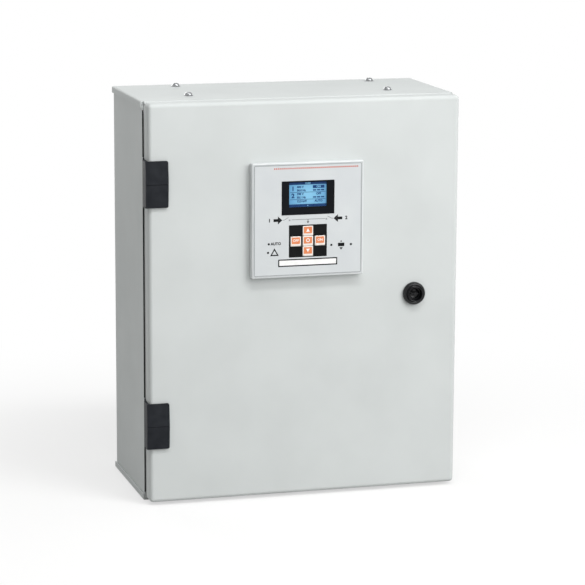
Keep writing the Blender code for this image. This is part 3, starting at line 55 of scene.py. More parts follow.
def linear(hexColour):
    channels = [int(hexColour[i:i + 2], 16) / 255 for i in (1, 3, 5)]
    return tuple(c / 12.92 if c <= 0.04045 else ((c + 0.055) / 1.055) ** 2.4 for c in channels) + (1.0,)


def addNode(tree, kind, settings=None, links=None):
    node = tree.nodes.new(kind)
    for key, value in (settings or {}).items():
        if isinstance(key, str) and hasattr(node, key):
            setattr(node, key, value)
        else:
            node.inputs[key].default_value = value
    for key, source in (links or {}).items():
        tree.links.new(source, node.inputs[key])
    return node


def seenDirectly(tree):
    # 1 for what the camera sees, also in a reflection or through glass, and 0 for the light that falls on things
    rays = addNode(tree, "ShaderNodeLightPath")
    seen = rays.outputs["Is Camera Ray"]
    for ray in ("Is Glossy Ray", "Is Transmission Ray"):
        seen = addNode(tree, "ShaderNodeMath", {"operation": "MAXIMUM"}, {0: seen, 1: rays.outputs[ray]}).outputs[0]
    return seen


# camera, at the photograph's viewing angle: metres, radians, and mm for the lens and the sensor
cameraPlace = {"location": (-0.8922, -3.1621, 0.8853), "down": 0.1927, "roll": -0.0043, "turn": -0.2772,
               "lens": 160.4, "sensor": 36.0, "farthest": 50.0}
camera = bpy.data.objects.new("camera", bpy.data.cameras.new("camera"))
camera.data.lens = cameraPlace["lens"]
camera.data.sensor_width = cameraPlace["sensor"]
camera.data.clip_end = cameraPlace["farthest"]
camera.location = cameraPlace["location"]
camera.rotation_euler = (math.pi / 2 - cameraPlace["down"], cameraPlace["roll"], cameraPlace["turn"])
scene.collection.objects.link(camera)
scene.camera = camera
scene.view_settings.view_transform = "Standard"

# studio light: an even world, a large soft lamp from the right, near enough to fade across the door, a long one
# overhead that the folded edges catch, and a weak one for the back
studio = {
    "worldFill": 0.4,
    "lamps": {"frontLamp": {"place": (1.45, -2.05, 1.5), "aim": (0.0, -0.1, 0.25), "size": (2.0, 2.0), "power": 46.0},
              "roofLamp": {"place": (0.1, -1.25, 2.3), "aim": (0.1, 0.0, 0.5), "size": (2.0, 0.4), "power": 25.0},
              "backLamp": {"place": (-0.4, 2.4, 0.8), "aim": (0.0, 0.1, 0.25), "size": (1.8, 1.4), "power": 22.0}},
    "floorSize": 16.0, "floorSeen": "#F9F9F8", "floorBounce": "#BCBCBB",
    "shadowNear": 0.3, "shadowFar": 0.9, "shadowLightened": 0.58,
}
world = bpy.data.worlds.new("studio")
scene.world = world
world.use_nodes = True
tree = world.node_tree
strength = addNode(tree, "ShaderNodeMapRange", {"To Min": studio["worldFill"], "To Max": 1.0},
                   {"Value": seenDirectly(tree)})
tree.links.new(strength.outputs[0], tree.nodes["Background"].inputs["Strength"])
tree.nodes["Background"].inputs["Color"].default_value = (1.0, 1.0, 1.0, 1.0)

for name, setting in studio["lamps"].items():
    lamp = bpy.data.objects.new(name, bpy.data.lights.new(name, "AREA"))
    lamp.data.shape = "ELLIPSE"
    lamp.data.size, lamp.data.size_y = setting["size"]
    lamp.data.energy = setting["power"]
    lamp.location = setting["place"]
    lamp.rotation_euler = (lamp.location - Vector(setting["aim"])).to_track_quat("Z", "Y").to_euler()
    scene.collection.objects.link(lamp)

bpy.ops.object.select_all(action="DESELECT")
bpy.ops.mesh.primitive_plane_add(size=studio["floorSize"])
floor = bpy.context.object
floor.name = "studioFloor"
paper = bpy.data.materials.new("mattPaperWhite")    # seamless paper: takes a light shadow, white further off
paper.use_nodes = True
tree = paper.node_tree
shader = tree.nodes["Principled BSDF"]
shader.inputs["Roughness"].default_value = 1.0
shader.inputs["Specular IOR Level"].default_value = 0.0
seen = seenDirectly(tree)
shade = addNode(tree, "ShaderNodeMix", {"data_type": "RGBA", 6: linear(studio["floorBounce"]),
                                        7: linear(studio["floorSeen"])}, {0: seen})
tree.links.new(shade.outputs[2], shader.inputs["Base Color"])
place = addNode(tree, "ShaderNodeTexCoord").outputs["Object"]
away = addNode(tree, "ShaderNodeVectorMath", {"operation": "LENGTH"}, {0: place}).outputs["Value"]
away = addNode(tree, "ShaderNodeMapRange", {"From Min": studio["shadowNear"], "From Max": studio["shadowFar"],
                                            "To Min": studio["shadowLightened"],
                                            "interpolation_type": "SMOOTHSTEP"}, {"Value": away}).outputs[0]
share = addNode(tree, "ShaderNodeMath", {"operation": "MULTIPLY"}, {0: away, 1: seen}).outputs[0]
glow = addNode(tree, "ShaderNodeEmission", {"Strength": 1.0})
mixed = addNode(tree, "ShaderNodeMixShader", None, {0: share, 1: shader.outputs[0], 2: glow.outputs[0]})
tree.links.new(mixed.outputs[0], tree.nodes["Material Output"].inputs["Surface"])
floor.data.materials.append(paper)
print("camera, lamps and floor ready")

# the two noises of every surface: fineness, and the values between which one tone turns into the other
noises = {"patch": {"detail": 4.0, "from": 0.34, "to": 0.66}, "grain": {"detail": 3.0, "from": 0.3, "to": 0.7}}


def makeSurface(name, dark, light, patch, grain, depth, bump, roughness, specular=0.5, metallic=0.0, stretch=None):
    # one Principled surface: colour drifts over patches, gloss and bump follow a finer grain; sizes in mm
    made = bpy.data.materials.new(name)
    made.use_nodes = True
    tree = made.node_tree
    shader = tree.nodes["Principled BSDF"]
    shader.inputs["Metallic"].default_value = metallic
    shader.inputs["Specular IOR Level"].default_value = specular
    place = addNode(tree, "ShaderNodeTexCoord").outputs["Object"]
    if stretch:
        place = addNode(tree, "ShaderNodeMapping", {"Scale": stretch}, {"Vector": place}).outputs[0]
    tones = {}
    for kind, size, (low, high) in (("patch", patch, (0.0, 1.0)), ("grain", grain, roughness)):
        noise = addNode(tree, "ShaderNodeTexNoise", {"Scale": 1 / (size * mm), "Detail": noises[kind]["detail"]},
                        {"Vector": place})
        tones[kind] = addNode(tree, "ShaderNodeMapRange", {
            "From Min": noises[kind]["from"], "From Max": noises[kind]["to"], "To Min": low, "To Max": high},
            {"Value": noise.outputs["Fac"]}).outputs[0]
    colour = addNode(tree, "ShaderNodeMix", {"data_type": "RGBA", 6: linear(dark), 7: linear(light)},
                     {0: tones["patch"]})
    tree.links.new(colour.outputs[2], shader.inputs["Base Color"])
    tree.links.new(tones["grain"], shader.inputs["Roughness"])
    relief = addNode(tree, "ShaderNodeBump", {"Strength": bump, "Distance": depth * mm},
                     {"Height": noise.outputs["Fac"]})
    tree.links.new(relief.outputs[0], shader.inputs["Normal"])
    return made


# baked polyester powder on steel: soft and matt, with a fine orange peel
powderCoat = makeSurface(
    "powderCoatedSteelLightGrey", "#CCD0CF", "#D1D5D4", patch=90, grain=1.1, depth=0.05, bump=0.25,
    roughness=(0.64, 0.74), specular=0.2)
# glass-filled polyamide from a spark-eroded mould: dull black with a broad, faint highlight
blackNylon = makeSurface(
    "mouldedPolyamideBlack", "#222428", "#2B2D31", patch=14, grain=0.35, depth=0.03, bump=0.35,
    roughness=(0.45, 0.55), specular=0.07)
# polished die-cast and painted lock face: glossier black, rings catch light
blackLacquer = makeSurface(
    "lacqueredZincCastingBlack", "#0E0F11", "#141518", patch=9, grain=0.5, depth=0.015, bump=0.2,
    roughness=(0.12, 0.2), specular=0.3)
# foamed-in-place polyurethane: dead matt with open pores
foamSeal = makeSurface(
    "foamedPolyurethaneSealBlack", "#1F2022", "#2C2D2F", patch=6, grain=0.7, depth=0.25, bump=0.6,
    roughness=(0.85, 0.98))
# hot-dip galvanised sheet: silver grey with soft spangle
galvanised = makeSurface(
    "galvanisedSheetSteel", "#B2B6B7", "#C4C7C7", patch=8, grain=2.2, depth=0.01, bump=0.2, roughness=(0.38, 0.5),
    metallic=1.0)
# zinc plated and clear passivated: bluish silver, slightly streaked by rolling
zincPlate = makeSurface(
    "zincPlatedSteelClearPassivated", "#AEB2B4", "#CCCECD", patch=5, grain=0.6, depth=0.008, bump=0.2,
    stretch=(0.2, 1.0, 1.0), roughness=(0.26, 0.4), metallic=1.0)
# bright nickel on turned steel: near mirror with faint tool marks
brightNickel = makeSurface(
    "nickelPlatedTurnedSteel", "#86888A", "#A2A4A5", patch=4, grain=0.5, depth=0.006, bump=0.2,
    roughness=(0.16, 0.26), metallic=1.0)
# polycarbonate from a polished mould: pale and satin
paleFrame = makeSurface(
    "mouldedPolycarbonatePaleGrey", "#D3D7D8", "#DADDDE", patch=30, grain=0.4, depth=0.01, bump=0.2,
    roughness=(0.3, 0.4))
# screen printed polyester film: even pale grey with a very fine velvet texture
printedFilm = makeSurface(
    "screenPrintedPolyesterPaleGrey", "#CCD0D2", "#D1D5D6", patch=40, grain=0.3, depth=0.02, bump=0.25,
    roughness=(0.45, 0.58))
# polyamide of rail terminals: warm light grey, matt
terminalNylon = makeSurface(
    "mouldedPolyamideLightGrey", "#B9BBB7", "#C4C5C1", patch=12, grain=0.35, depth=0.02, bump=0.3,
    roughness=(0.42, 0.55))
# cast acrylic sheet, black: deep gloss
blackAcrylic = makeSurface(
    "castAcrylicBlack", "#111317", "#15181C", patch=25, grain=2.0, depth=0.002, bump=0.1, roughness=(0.08, 0.14),
    specular=0.07)
# thermoset of breakers and carriers: ivory white, satin
ivoryThermoset = makeSurface(
    "mouldedThermosetIvory", "#DAD8D0", "#E4E2DB", patch=18, grain=0.4, depth=0.02, bump=0.25, roughness=(0.36, 0.48))
# phenolic of contactor bodies: dark slate grey with pale flow marks
slatePhenolic = makeSurface(
    "mouldedPhenolicSlateGrey", "#4C5053", "#5A5E61", patch=16, grain=0.4, depth=0.03, bump=0.3,
    roughness=(0.42, 0.56))
# arc covers of the contactors: mid grey polyamide
coverNylon = makeSurface(
    "mouldedPolyamideMidGrey", "#83878A", "#8F9396", patch=16, grain=0.4, depth=0.03, bump=0.3, roughness=(0.4, 0.54))
# extruded PVC of the wiring ducts: flat stone grey with faint draw lines
ductVinyl = makeSurface(
    "extrudedVinylStoneGrey", "#9A9D9D", "#A5A8A8", patch=20, grain=0.8, depth=0.01, bump=0.2,
    stretch=(0.08, 1.0, 1.0), roughness=(0.45, 0.58))
# plug-in connectors: saturated green polyamide
greenNylon = makeSurface(
    "mouldedPolyamideGreen", "#1F7A3C", "#278A46", patch=10, grain=0.35, depth=0.02, bump=0.3, roughness=(0.38, 0.5))
# rolled copper bar: salmon metal, drawn along its length, slightly tarnished
rolledCopper = makeSurface(
    "rolledCopperBar", "#A96A4A", "#CB8A66", patch=7, grain=0.5, depth=0.006, bump=0.25, stretch=(0.12, 1.0, 1.0),
    roughness=(0.24, 0.42), metallic=1.0)
# extruded brass: straw yellow, drawn along its length
drawnBrass = makeSurface(
    "extrudedBrassBar", "#B08C48", "#CDA964", patch=6, grain=0.5, depth=0.006, bump=0.25, stretch=(0.15, 1.0, 1.0),
    roughness=(0.22, 0.38), metallic=1.0)
# silicone key tops: soft orange and white, matt
silicone = {"patch": 5, "grain": 0.3, "depth": 0.02, "bump": 0.25}
keyOrange = makeSurface("mouldedSiliconeOrange", "#D97B4A", "#E28957", roughness=(0.5, 0.62), **silicone)
keyWhite = makeSurface("mouldedSiliconeWhite", "#F0E6DE", "#F6EEE7", roughness=(0.48, 0.6), **silicone)
# screen inks: thin, even, slightly matt
ink = {"patch": 6, "grain": 0.25, "depth": 0.005, "bump": 0.15}
blackInk = makeSurface("screenInkBlack", "#121314", "#171819", roughness=(0.4, 0.52), specular=0.07, **ink)
orangeInk = makeSurface("screenInkOrange", "#BE4529", "#C85032", roughness=(0.42, 0.54), **ink)
whiteInk = makeSurface("screenInkWhite", "#F2F2F0", "#F8F8F6", roughness=(0.42, 0.54), **ink)
greyInk = makeSurface("screenInkMidGrey", "#8A8E90", "#929698", roughness=(0.42, 0.54), **ink)
# unlit light-emitting diodes: epoxy as dark as smoke, with a small bright glint
ledEpoxy = makeSurface(
    "castEpoxyLensSmoke", "#141618", "#1E2124", patch=1.2, grain=0.6, depth=0.002, bump=0.1, roughness=(0.1, 0.18),
    specular=0.3)
# dark segments of the display, set in the glass
segmentBlue = makeSurface(
    "liquidCrystalSegmentsDarkBlue", "#1B3A6B", "#234778", patch=4, grain=0.4, depth=0.002, bump=0.05,
    roughness=(0.2, 0.28), specular=0.15)

toFront = Matrix.Rotation(math.pi / 2, 4, "X")      # turns a piece modelled along +Z to face the door side, -Y
toBack = Matrix.Rotation(-math.pi / 2, 4, "X")
upwards = Matrix.Identity(4)
turnedRound = Matrix.Rotation(math.pi, 4, "Z")      # turns a piece that faces the front to face the back
slack = 0.1 * mm                                    # what lies this near to a plane counts as on it
square = 0.9                                        # a normal with this much along an axis counts as facing it
doubles = 0.0005 * mm                               # points nearer than this are merged
inkThick = 0.06                                     # in mm, as the next
inkOut = inkThick / 2 - 0.01                        # from a face to the middle of its ink, which sinks in a little


def inMm(x, y, z):
    return Vector((x, y, z)) * mm


def faceOf(nodeName, back=0.0):
    # middle of a node's front, or a point some mm behind it
    low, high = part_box(nodeName)
    return Vector(((low.x + high.x) / 2, low.y + back * mm, (low.z + high.z) / 2))


# backlit liquid crystal: pale blue glow, brighter in the middle, with the fine net of its pixels; sizes in mm
screenLook = {"middle": "#79B4D3", "edge": "#4F8BB6", "brightTo": 4.0, "dimFrom": 30.0, "pixel": 0.4,
              "pixelDim": 0.12, "glow": 0.18, "roughness": 0.22}
backlitBlue = bpy.data.materials.new("liquidCrystalBacklitBlue")
backlitBlue.use_nodes = True
tree = backlitBlue.node_tree
shader = tree.nodes["Principled BSDF"]
low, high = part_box("display_screen")
place = addNode(tree, "ShaderNodeTexCoord").outputs["Object"]
apart = addNode(tree, "ShaderNodeVectorMath", {"operation": "DISTANCE", 1: (low + high) / 2}, {0: place})
fall = addNode(tree, "ShaderNodeMapRange", {"From Min": screenLook["brightTo"] * mm,
                                            "From Max": screenLook["dimFrom"] * mm}, {"Value": apart.outputs["Value"]})
net = addNode(tree, "ShaderNodeTexChecker", {"Scale": 1 / (screenLook["pixel"] * mm)}, {"Vector": place})
dots = addNode(tree, "ShaderNodeMath", {"operation": "MULTIPLY", 1: screenLook["pixelDim"]}, {0: net.outputs["Fac"]})
blend = addNode(tree, "ShaderNodeMath", {"operation": "ADD", "use_clamp": True},
                {0: fall.outputs[0], 1: dots.outputs[0]})
colour = addNode(tree, "ShaderNodeMix", {"data_type": "RGBA", 6: linear(screenLook["middle"]),
                                         7: linear(screenLook["edge"])}, {0: blend.outputs[0]})
for socket in ("Base Color", "Emission Color"):
    tree.links.new(colour.outputs[2], shader.inputs[socket])
shader.inputs["Emission Strength"].default_value = screenLook["glow"]
shader.inputs["Roughness"].default_value = screenLook["roughness"]
print("materials ready:", len(bpy.data.materials))


def deselectAll():
    if bpy.context.object and bpy.context.object.mode != "OBJECT":
        bpy.ops.object.mode_set(mode="OBJECT")
    bpy.ops.object.select_all(action="DESELECT")


def takeUp(piece):
    deselectAll()
    piece.select_set(True)
    bpy.context.view_layer.objects.active = piece


def editPiece(piece):
    takeUp(piece)
    bpy.ops.object.mode_set(mode="EDIT")
    bpy.ops.mesh.select_mode(type="VERT")
    bpy.ops.mesh.select_all(action="SELECT")


def leaveEdit():
    bpy.ops.object.mode_set(mode="OBJECT")


def pickParts(kind, test):
    # selects the faces or edges that pass the test, in edit mode
    bpy.ops.mesh.select_mode(type=kind)
    bpy.ops.mesh.select_all(action="DESELECT")
    mesh = bpy.context.object.data
    shape = bmesh.from_edit_mesh(mesh)
    for part in shape.faces if kind == "FACE" else shape.edges:
        if test(part):
            part.select_set(True)
    bmesh.update_edit_mesh(mesh)


def pickFaces(test):
    # the test gets the middle and the normal of each face
    pickParts("FACE", lambda face: test(face.calc_center_median(), face.normal))


def roundEdges(piece, test, radius, segments):
    # bevels the edges whose two ends pass the test
    editPiece(piece)
    pickParts("EDGE", lambda edge: test(edge.verts[0].co, edge.verts[1].co))
    bpy.ops.mesh.bevel(offset=radius * mm, segments=segments, affect="EDGES")
    leaveEdit()


def useModifier(piece, kind, **settings):
    takeUp(piece)
    modifier = piece.modifiers.new(kind.lower(), kind)
    for key, value in settings.items():
        setattr(modifier, key, value)
    bpy.ops.object.modifier_apply(modifier=modifier.name)


def smoothPiece(piece, angle=35):
    takeUp(piece)
    bpy.ops.object.shade_smooth_by_angle(angle=math.radians(angle))


def settle(piece):
    # puts the place, turn and size of the object into its mesh
    takeUp(piece)
    bpy.ops.object.transform_apply(location=True, rotation=True, scale=True)


def block(size, middle, turn=0.0):
    # a cube to shape further: its size in mm, its middle in metres
    deselectAll()
    bpy.ops.mesh.primitive_cube_add(size=mm, location=middle, rotation=(0, 0, turn), scale=size)
    piece = bpy.context.object
    settle(piece)
    return piece


def joinPieces(pieces, name):
    deselectAll()
    for piece in pieces:
        piece.select_set(True)
    bpy.context.view_layer.objects.active = pieces[0]
    if len(pieces) > 1:
        bpy.ops.object.join()
    joined = bpy.context.view_layer.objects.active
    joined.name = name
    joined.data.name = name
    return joined


def moved(piece, spot):
    piece.data.transform(Matrix.Translation(spot))
    return piece


def copyAt(master, spot, turn=upwards):
    # a copy with its own mesh, turned about the origin and then moved to its spot, both kept in the mesh
    twin = master.copy()
    twin.data = master.data.copy()
    twin.data.transform(Matrix.Translation(spot) @ turn)
    scene.collection.objects.link(twin)
    return twin


def dropMaster(master):
    bpy.data.objects.remove(master)


def paint(piece, surface):
    piece.data.materials.clear()
    piece.data.materials.append(surface)


def fitOn(piece, body, slot, *stoodFor):
    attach(piece, body)
    if stoodFor:
        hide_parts(*stoodFor)


def bindOn(name, pieces, surface, body, slot, place=upwards, *stoodFor):
    # finished pieces of one surface, joined and put in their place
    bound = joinPieces(pieces, name)
    bound.data.transform(place)
    paint(bound, surface)
    fitOn(bound, body, slot, *stoodFor)


def turnedPiece(profile, steps, angle=30):
    # turns a profile of (radius, height) in mm about Z, as on a lathe
    deselectAll()
    bpy.ops.mesh.primitive_plane_add(size=mm)
    piece = bpy.context.object
    editPiece(piece)
    bpy.ops.mesh.merge(type="CENTER")
    radius, height = profile[0]
    bpy.ops.transform.translate(value=(radius * mm, 0, height * mm))
    for nextRadius, nextHeight in profile[1:]:
        step = ((nextRadius - radius) * mm, 0, (nextHeight - height) * mm)
        bpy.ops.mesh.extrude_vertices_move(TRANSFORM_OT_translate={"value": step})
        radius, height = nextRadius, nextHeight
    bpy.ops.mesh.select_all(action="SELECT")
    bpy.ops.mesh.spin(steps=steps, angle=2 * math.pi, center=(0, 0, 0), axis=(0, 0, 1))
    bpy.ops.mesh.select_all(action="SELECT")
    bpy.ops.mesh.remove_doubles(threshold=doubles)
    bpy.ops.mesh.normals_make_consistent(inside=False)
    leaveEdit()
    smoothPiece(piece, angle)
    return piece


def threadDown(radius, depth, pitch, turns, first):
    # profile of a thread from the top down: a crest and a root for each turn
    crests = [-first - pitch * turn for turn in range(turns)]
    return [point for up in crests for point in ((radius, up), (radius - depth, up - pitch / 2))]


def standUp(piece):
    editPiece(piece)
    bpy.ops.mesh.remove_doubles(threshold=doubles)
    leaveEdit()
    piece.data.transform(toFront)
    return piece


def flatShape(outlines, thick=inkThick):
    # closed outlines of (x, z) in mm filled flat, holes included, and given a thickness; it faces the front
    curve = bpy.data.curves.new("flatShape", "CURVE")
    curve.dimensions = "2D"
    curve.fill_mode = "BOTH"
    curve.extrude = thick / 2 * mm
    for outline in outlines:
        line = curve.splines.new("POLY")
        line.points.add(len(outline) - 1)
        for point, (x, z) in zip(line.points, outline):
            point.co = (x * mm, z * mm, 0, 1)
        line.use_cyclic_u = True
    piece = bpy.data.objects.new("flatShape", curve)
    scene.collection.objects.link(piece)
    takeUp(piece)
    bpy.ops.object.convert(target="MESH")
    return standUp(bpy.context.object)


def lettering(words, capital, x, z, heavy=0.045, align="CENTER"):
    # generic marks: numbers, units, ON and OFF; capital is the letters' height in mm, heavy thickens the face
    deselectAll()
    bpy.ops.object.text_add()
    text = bpy.context.object
    text.data.body = words
    text.data.size = capital * mm / 0.69        # capitals are 0.69 of the type size
    text.data.offset = heavy * text.data.size
    text.data.align_x = align
    text.data.align_y = "CENTER"
    text.data.extrude = inkThick / 2 * mm
    text.data.resolution_u = 3
    bpy.ops.object.convert(target="MESH")
    return moved(standUp(bpy.context.object), inMm(x, 0, z))


# outlines in mm
def roundedBox(width, height, corner, steps=4, x=0, z=0):
    points = []
    for quarter, (sideX, sideZ) in enumerate(((1, 1), (-1, 1), (-1, -1), (1, -1))):
        for i in range(steps + 1):
            turn = math.pi / 2 * (quarter + i / steps)
            points.append((x + sideX * (width / 2 - corner) + corner * math.cos(turn),
                           z + sideZ * (height / 2 - corner) + corner * math.sin(turn)))
    return points


def ring(radius, steps=24, x=0, z=0):
    return [(x + radius * math.cos(2 * math.pi * i / steps), z + radius * math.sin(2 * math.pi * i / steps))
            for i in range(steps)]


def triangle(width, height, point, x=0, z=0):
    # pointing up for point 1 and down for point -1
    base, tip = z - point * height / 2, z + point * height / 2
    return [(x - width / 2, base), (x + width / 2, base), (x, tip)][::point]


def bar(fromX, fromZ, toX, toZ, wide):
    along = Vector((toX - fromX, toZ - fromZ)).normalized() * wide / 2
    return [(fromX - along.y, fromZ + along.x), (fromX + along.y, fromZ - along.x),
            (toX + along.y, toZ - along.x), (toX - along.y, toZ + along.x)]


def border(width, height, line, corners, steps=4, z=0):
    # outer and inner outline of a frame
    return [roundedBox(width - 2 * inset, height - 2 * inset, corner, steps, 0, z)
            for inset, corner in zip((0, line), corners)]


# how some copies of the CAD are shaped further, in mm
leafCrown = {"fall": 1.8, "reach": 2.2}
roofLip = {"reach": 2.4, "drop": 2.2, "sideRoom": 4.0, "sheet": 1.5, "round": 2.2, "steps": 5}
doorFold = {"bare": 3.0, "painted": 5.0, "near": 0.01}


def crownLeaf(low, high):
    # each half of a hinge leaf falls back a little from the seam across its middle
    for end in (low.z, high.z):
        pickParts("EDGE", lambda edge: all(abs(vert.co.z - end) < leafCrown["reach"] * mm
                                           and vert.co.y < low.y + slack for vert in edge.verts))
        bpy.ops.transform.translate(value=(0, leafCrown["fall"] * mm, 0))


def foldFront(low, high):
    # the front edge of the roof, folded forwards and down over the rim
    reach, under = roofLip["reach"] * mm, high.z - roofLip["sheet"] * mm
    left, right = low.x + roofLip["sideRoom"] * mm, high.x - roofLip["sideRoom"] * mm
    for spot, direction in (((0, 0, under), (0, 0, 1)), ((left, 0, 0), (1, 0, 0)), ((right, 0, 0), (1, 0, 0))):
        bpy.ops.mesh.select_all(action="SELECT")
        bpy.ops.mesh.bisect(plane_co=spot, plane_no=direction)
    pickFaces(lambda middle, normal: normal.y < -square and middle.y < low.y + slack
              and middle.z > under and left < middle.x < right)
    bpy.ops.mesh.extrude_region_move(TRANSFORM_OT_translate={"value": (0, -reach, 0)})
    pickFaces(lambda middle, normal: normal.z < -square and middle.y < low.y - slack)
    bpy.ops.mesh.extrude_region_move(TRANSFORM_OT_translate={"value": (0, 0, -roofLip["drop"] * mm)})
    roundEdges(bpy.context.object, lambda a, b: all(p.y < low.y - reach + slack and p.z > high.z - slack
                                                    for p in (a, b)), roofLip["round"], roofLip["steps"])


def widenFolds(low, high):
    # the folds round the front of the door, drawn wider than in the CAD: the paint makes them look rounder
    bare, wider = doorFold["bare"] * mm, (doorFold["painted"] - doorFold["bare"]) * mm
    mesh = bpy.context.object.data
    shape = bmesh.from_edit_mesh(mesh)
    for vert in shape.verts:
        near = Vector((min(vert.co.x - low.x, high.x - vert.co.x), vert.co.y - low.y,
                       min(vert.co.z - low.z, high.z - vert.co.z)))
        within = [distance < bare + doorFold["near"] * mm for distance in near]
        if sum(within) < 2:
            continue
        inward = Vector([min(0.0, distance - bare) for distance in near])
        steps = Vector([wider * inside for inside in within]) + inward.normalized() * wider
        side = Vector((1 if vert.co.x < 0 else -1, 1, 1 if vert.co.z < (low.z + high.z) / 2 else -1))
        vert.co += Vector([step * way for step, way in zip(steps, side)])
    bmesh.update_edit_mesh(mesh)


shaping = {"hinge_leaf_upper": crownLeaf, "hinge_leaf_lower": crownLeaf, "roof_cap": foldFront,
           "door_panel": widenFolds}

# rows of screws on the devices inside, in mm: places from the middle of the node, how far their face lies behind
# its front, the head, the depth of the well that the head sits in, and the height of a terminal's number
wideTerminal = {"count": 4, "pitch": 13.0, "levels": (-10.4, 10.4), "behind": 0.0, "head": 3.2, "tall": 1.7,
                "slots": 2, "depth": 2.4, "number": 3.6}
breakerRow = {"count": 4, "pitch": 18.0, "levels": (-31.0, 31.0), "behind": 16.0, "head": 3.3, "tall": 1.8,
              "slots": 2, "depth": 2.4}
contactorRow = {"count": 4, "pitch": 17.0, "levels": (-36.0, 36.0), "behind": 35.0, "head": 3.4, "tall": 2.6,
                "slots": 2, "depth": 0.0}
screwRows = {
    "supply_terminals_1": wideTerminal, "supply_terminals_2": wideTerminal, "load_terminals": wideTerminal,
    "control_terminals": {"count": 10, "pitch": 6.2, "levels": (-10.8, 10.8), "behind": 0.0, "head": 1.8, "tall": 1.3,
                          "slots": 1, "depth": 1.9, "number": 2.8},
    "breaker_1": breakerRow, "breaker_2": breakerRow,
    "contactor_1_cover": contactorRow, "contactor_2_cover": contactorRow,
    "earth_bar": {"count": 6, "pitch": 60 / 7, "levels": (0.0,), "behind": 0.0, "head": 2.8, "tall": 2.0,
                  "slots": 1, "depth": 0.0},
}
wellBore = {"play": 0.4, "steps": 20}


def screwSpots(nodeName):
    row = screwRows[nodeName]
    face = faceOf(nodeName, row["behind"])
    return [face + inMm(row["pitch"] * (i - (row["count"] - 1) / 2), 0, level)
            for level in row["levels"] for i in range(row["count"])]


def boreWells(piece, nodeName):
    row = screwRows[nodeName]
    bores = []
    for spot in screwSpots(nodeName):
        deselectAll()
        bpy.ops.mesh.primitive_cylinder_add(
            vertices=wellBore["steps"], radius=(row["head"] + wellBore["play"]) * mm, depth=2 * row["depth"] * mm,
            location=spot, rotation=(math.pi / 2, 0, 0))
        bores.append(bpy.context.object)
    bore = joinPieces(bores, "bores")
    settle(bore)
    useModifier(piece, "BOOLEAN", object=bore, operation="DIFFERENCE", solver="EXACT")
    dropMaster(bore)


# how every copy of the CAD is finished: mm for what is merged, degrees, and the pull of large faces on the shading
finish = {"merge": 0.002, "flat": 0.5, "sharp": 40, "smooth": 42, "weight": 80}


def finishedCopy(nodeName, surface, edge):
    # the node's own shape, with its sharp edges broken by a small radius and its bends shaded smooth
    piece = bpy.data.objects.new(nodeName + ".finished", nodes[nodeName].data.copy())
    scene.collection.objects.link(piece)
    editPiece(piece)
    bpy.ops.mesh.remove_doubles(threshold=finish["merge"] * mm)
    bpy.ops.mesh.dissolve_limited(angle_limit=math.radians(finish["flat"]))
    if nodeName in shaping:
        shaping[nodeName](*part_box(nodeName))
    leaveEdit()
    if nodeName in screwRows and screwRows[nodeName]["depth"]:
        boreWells(piece, nodeName)
    if edge:
        useModifier(piece, "BEVEL", width=edge * mm, segments=2, limit_method="ANGLE",
                    angle_limit=math.radians(finish["sharp"]))
    smoothPiece(piece, finish["smooth"])
    useModifier(piece, "WEIGHTED_NORMAL", keep_sharp=True, weight=finish["weight"])
    paint(piece, surface)
    fitOn(piece, bodyOf[nodeName], slotOf[nodeName], nodeName)


# surface and edge radius in mm of the pieces made from their CAD shape
shownNodes = [
    (powderCoat, 0.3, "body_wrap roof_cap floor_cap rim_frame door_panel"),
    (foamSeal, 0.2, "gland_gasket"),
    (galvanised, 0.3, "gland_plate mounting_plate"),
    (foamSeal, 0.4, "door_gasket"),
    (blackNylon, 0.6, "hinge_leaf_upper hinge_leaf_lower"),
    (blackNylon, 0.3, "hinge_bracket_upper hinge_bracket_lower"),
    (brightNickel, 0.2, "hinge_pin_upper hinge_pin_lower"),
    (zincPlate, 0.3, "lock_nut lock_cam"),
    (paleFrame, 0.2, "controller_bezel"),
    (printedFilm, 0.1, "controller_overlay"),
    (blackAcrylic, 0.1, "display_window"),
    (backlitBlue, 0.1, "display_screen"),
    (blackNylon, 0.4, "controller_housing"),
    (greenNylon, 0.2, "controller_plug"),
    (blackNylon, 0.3, "controller_clamp_left controller_clamp_right"),
    (zincPlate, 0.15, "din_rail_upper din_rail_lower"),
    (ivoryThermoset, 0.12, "breaker_1 breaker_2"),
    (blackNylon, 0.4, "breaker_1_toggle breaker_2_toggle"),
    (slatePhenolic, 0.2, "contactor_1_base contactor_2_base"),
    (coverNylon, 0.25, "contactor_1_cover contactor_2_cover"),
    (ivoryThermoset, 0.3, "contactor_1_carrier contactor_2_carrier"),
    (blackNylon, 0.4, "interlock_unit"),
    (rolledCopper, 0.25, "load_bar_1 load_bar_2 load_bar_3 load_bar_4"),
    (ductVinyl, 0.2, "wire_duct_upper wire_duct_lower"),
    (terminalNylon, 0.3, "supply_terminals_1 supply_terminals_2 load_terminals"),
    (terminalNylon, 0.25, "control_terminals"),
    (drawnBrass, 0.0, "earth_bar"),
]
for surface, edge, names in shownNodes:
    for name in names.split():
        finishedCopy(name, surface, edge)
print("CAD shapes finished")

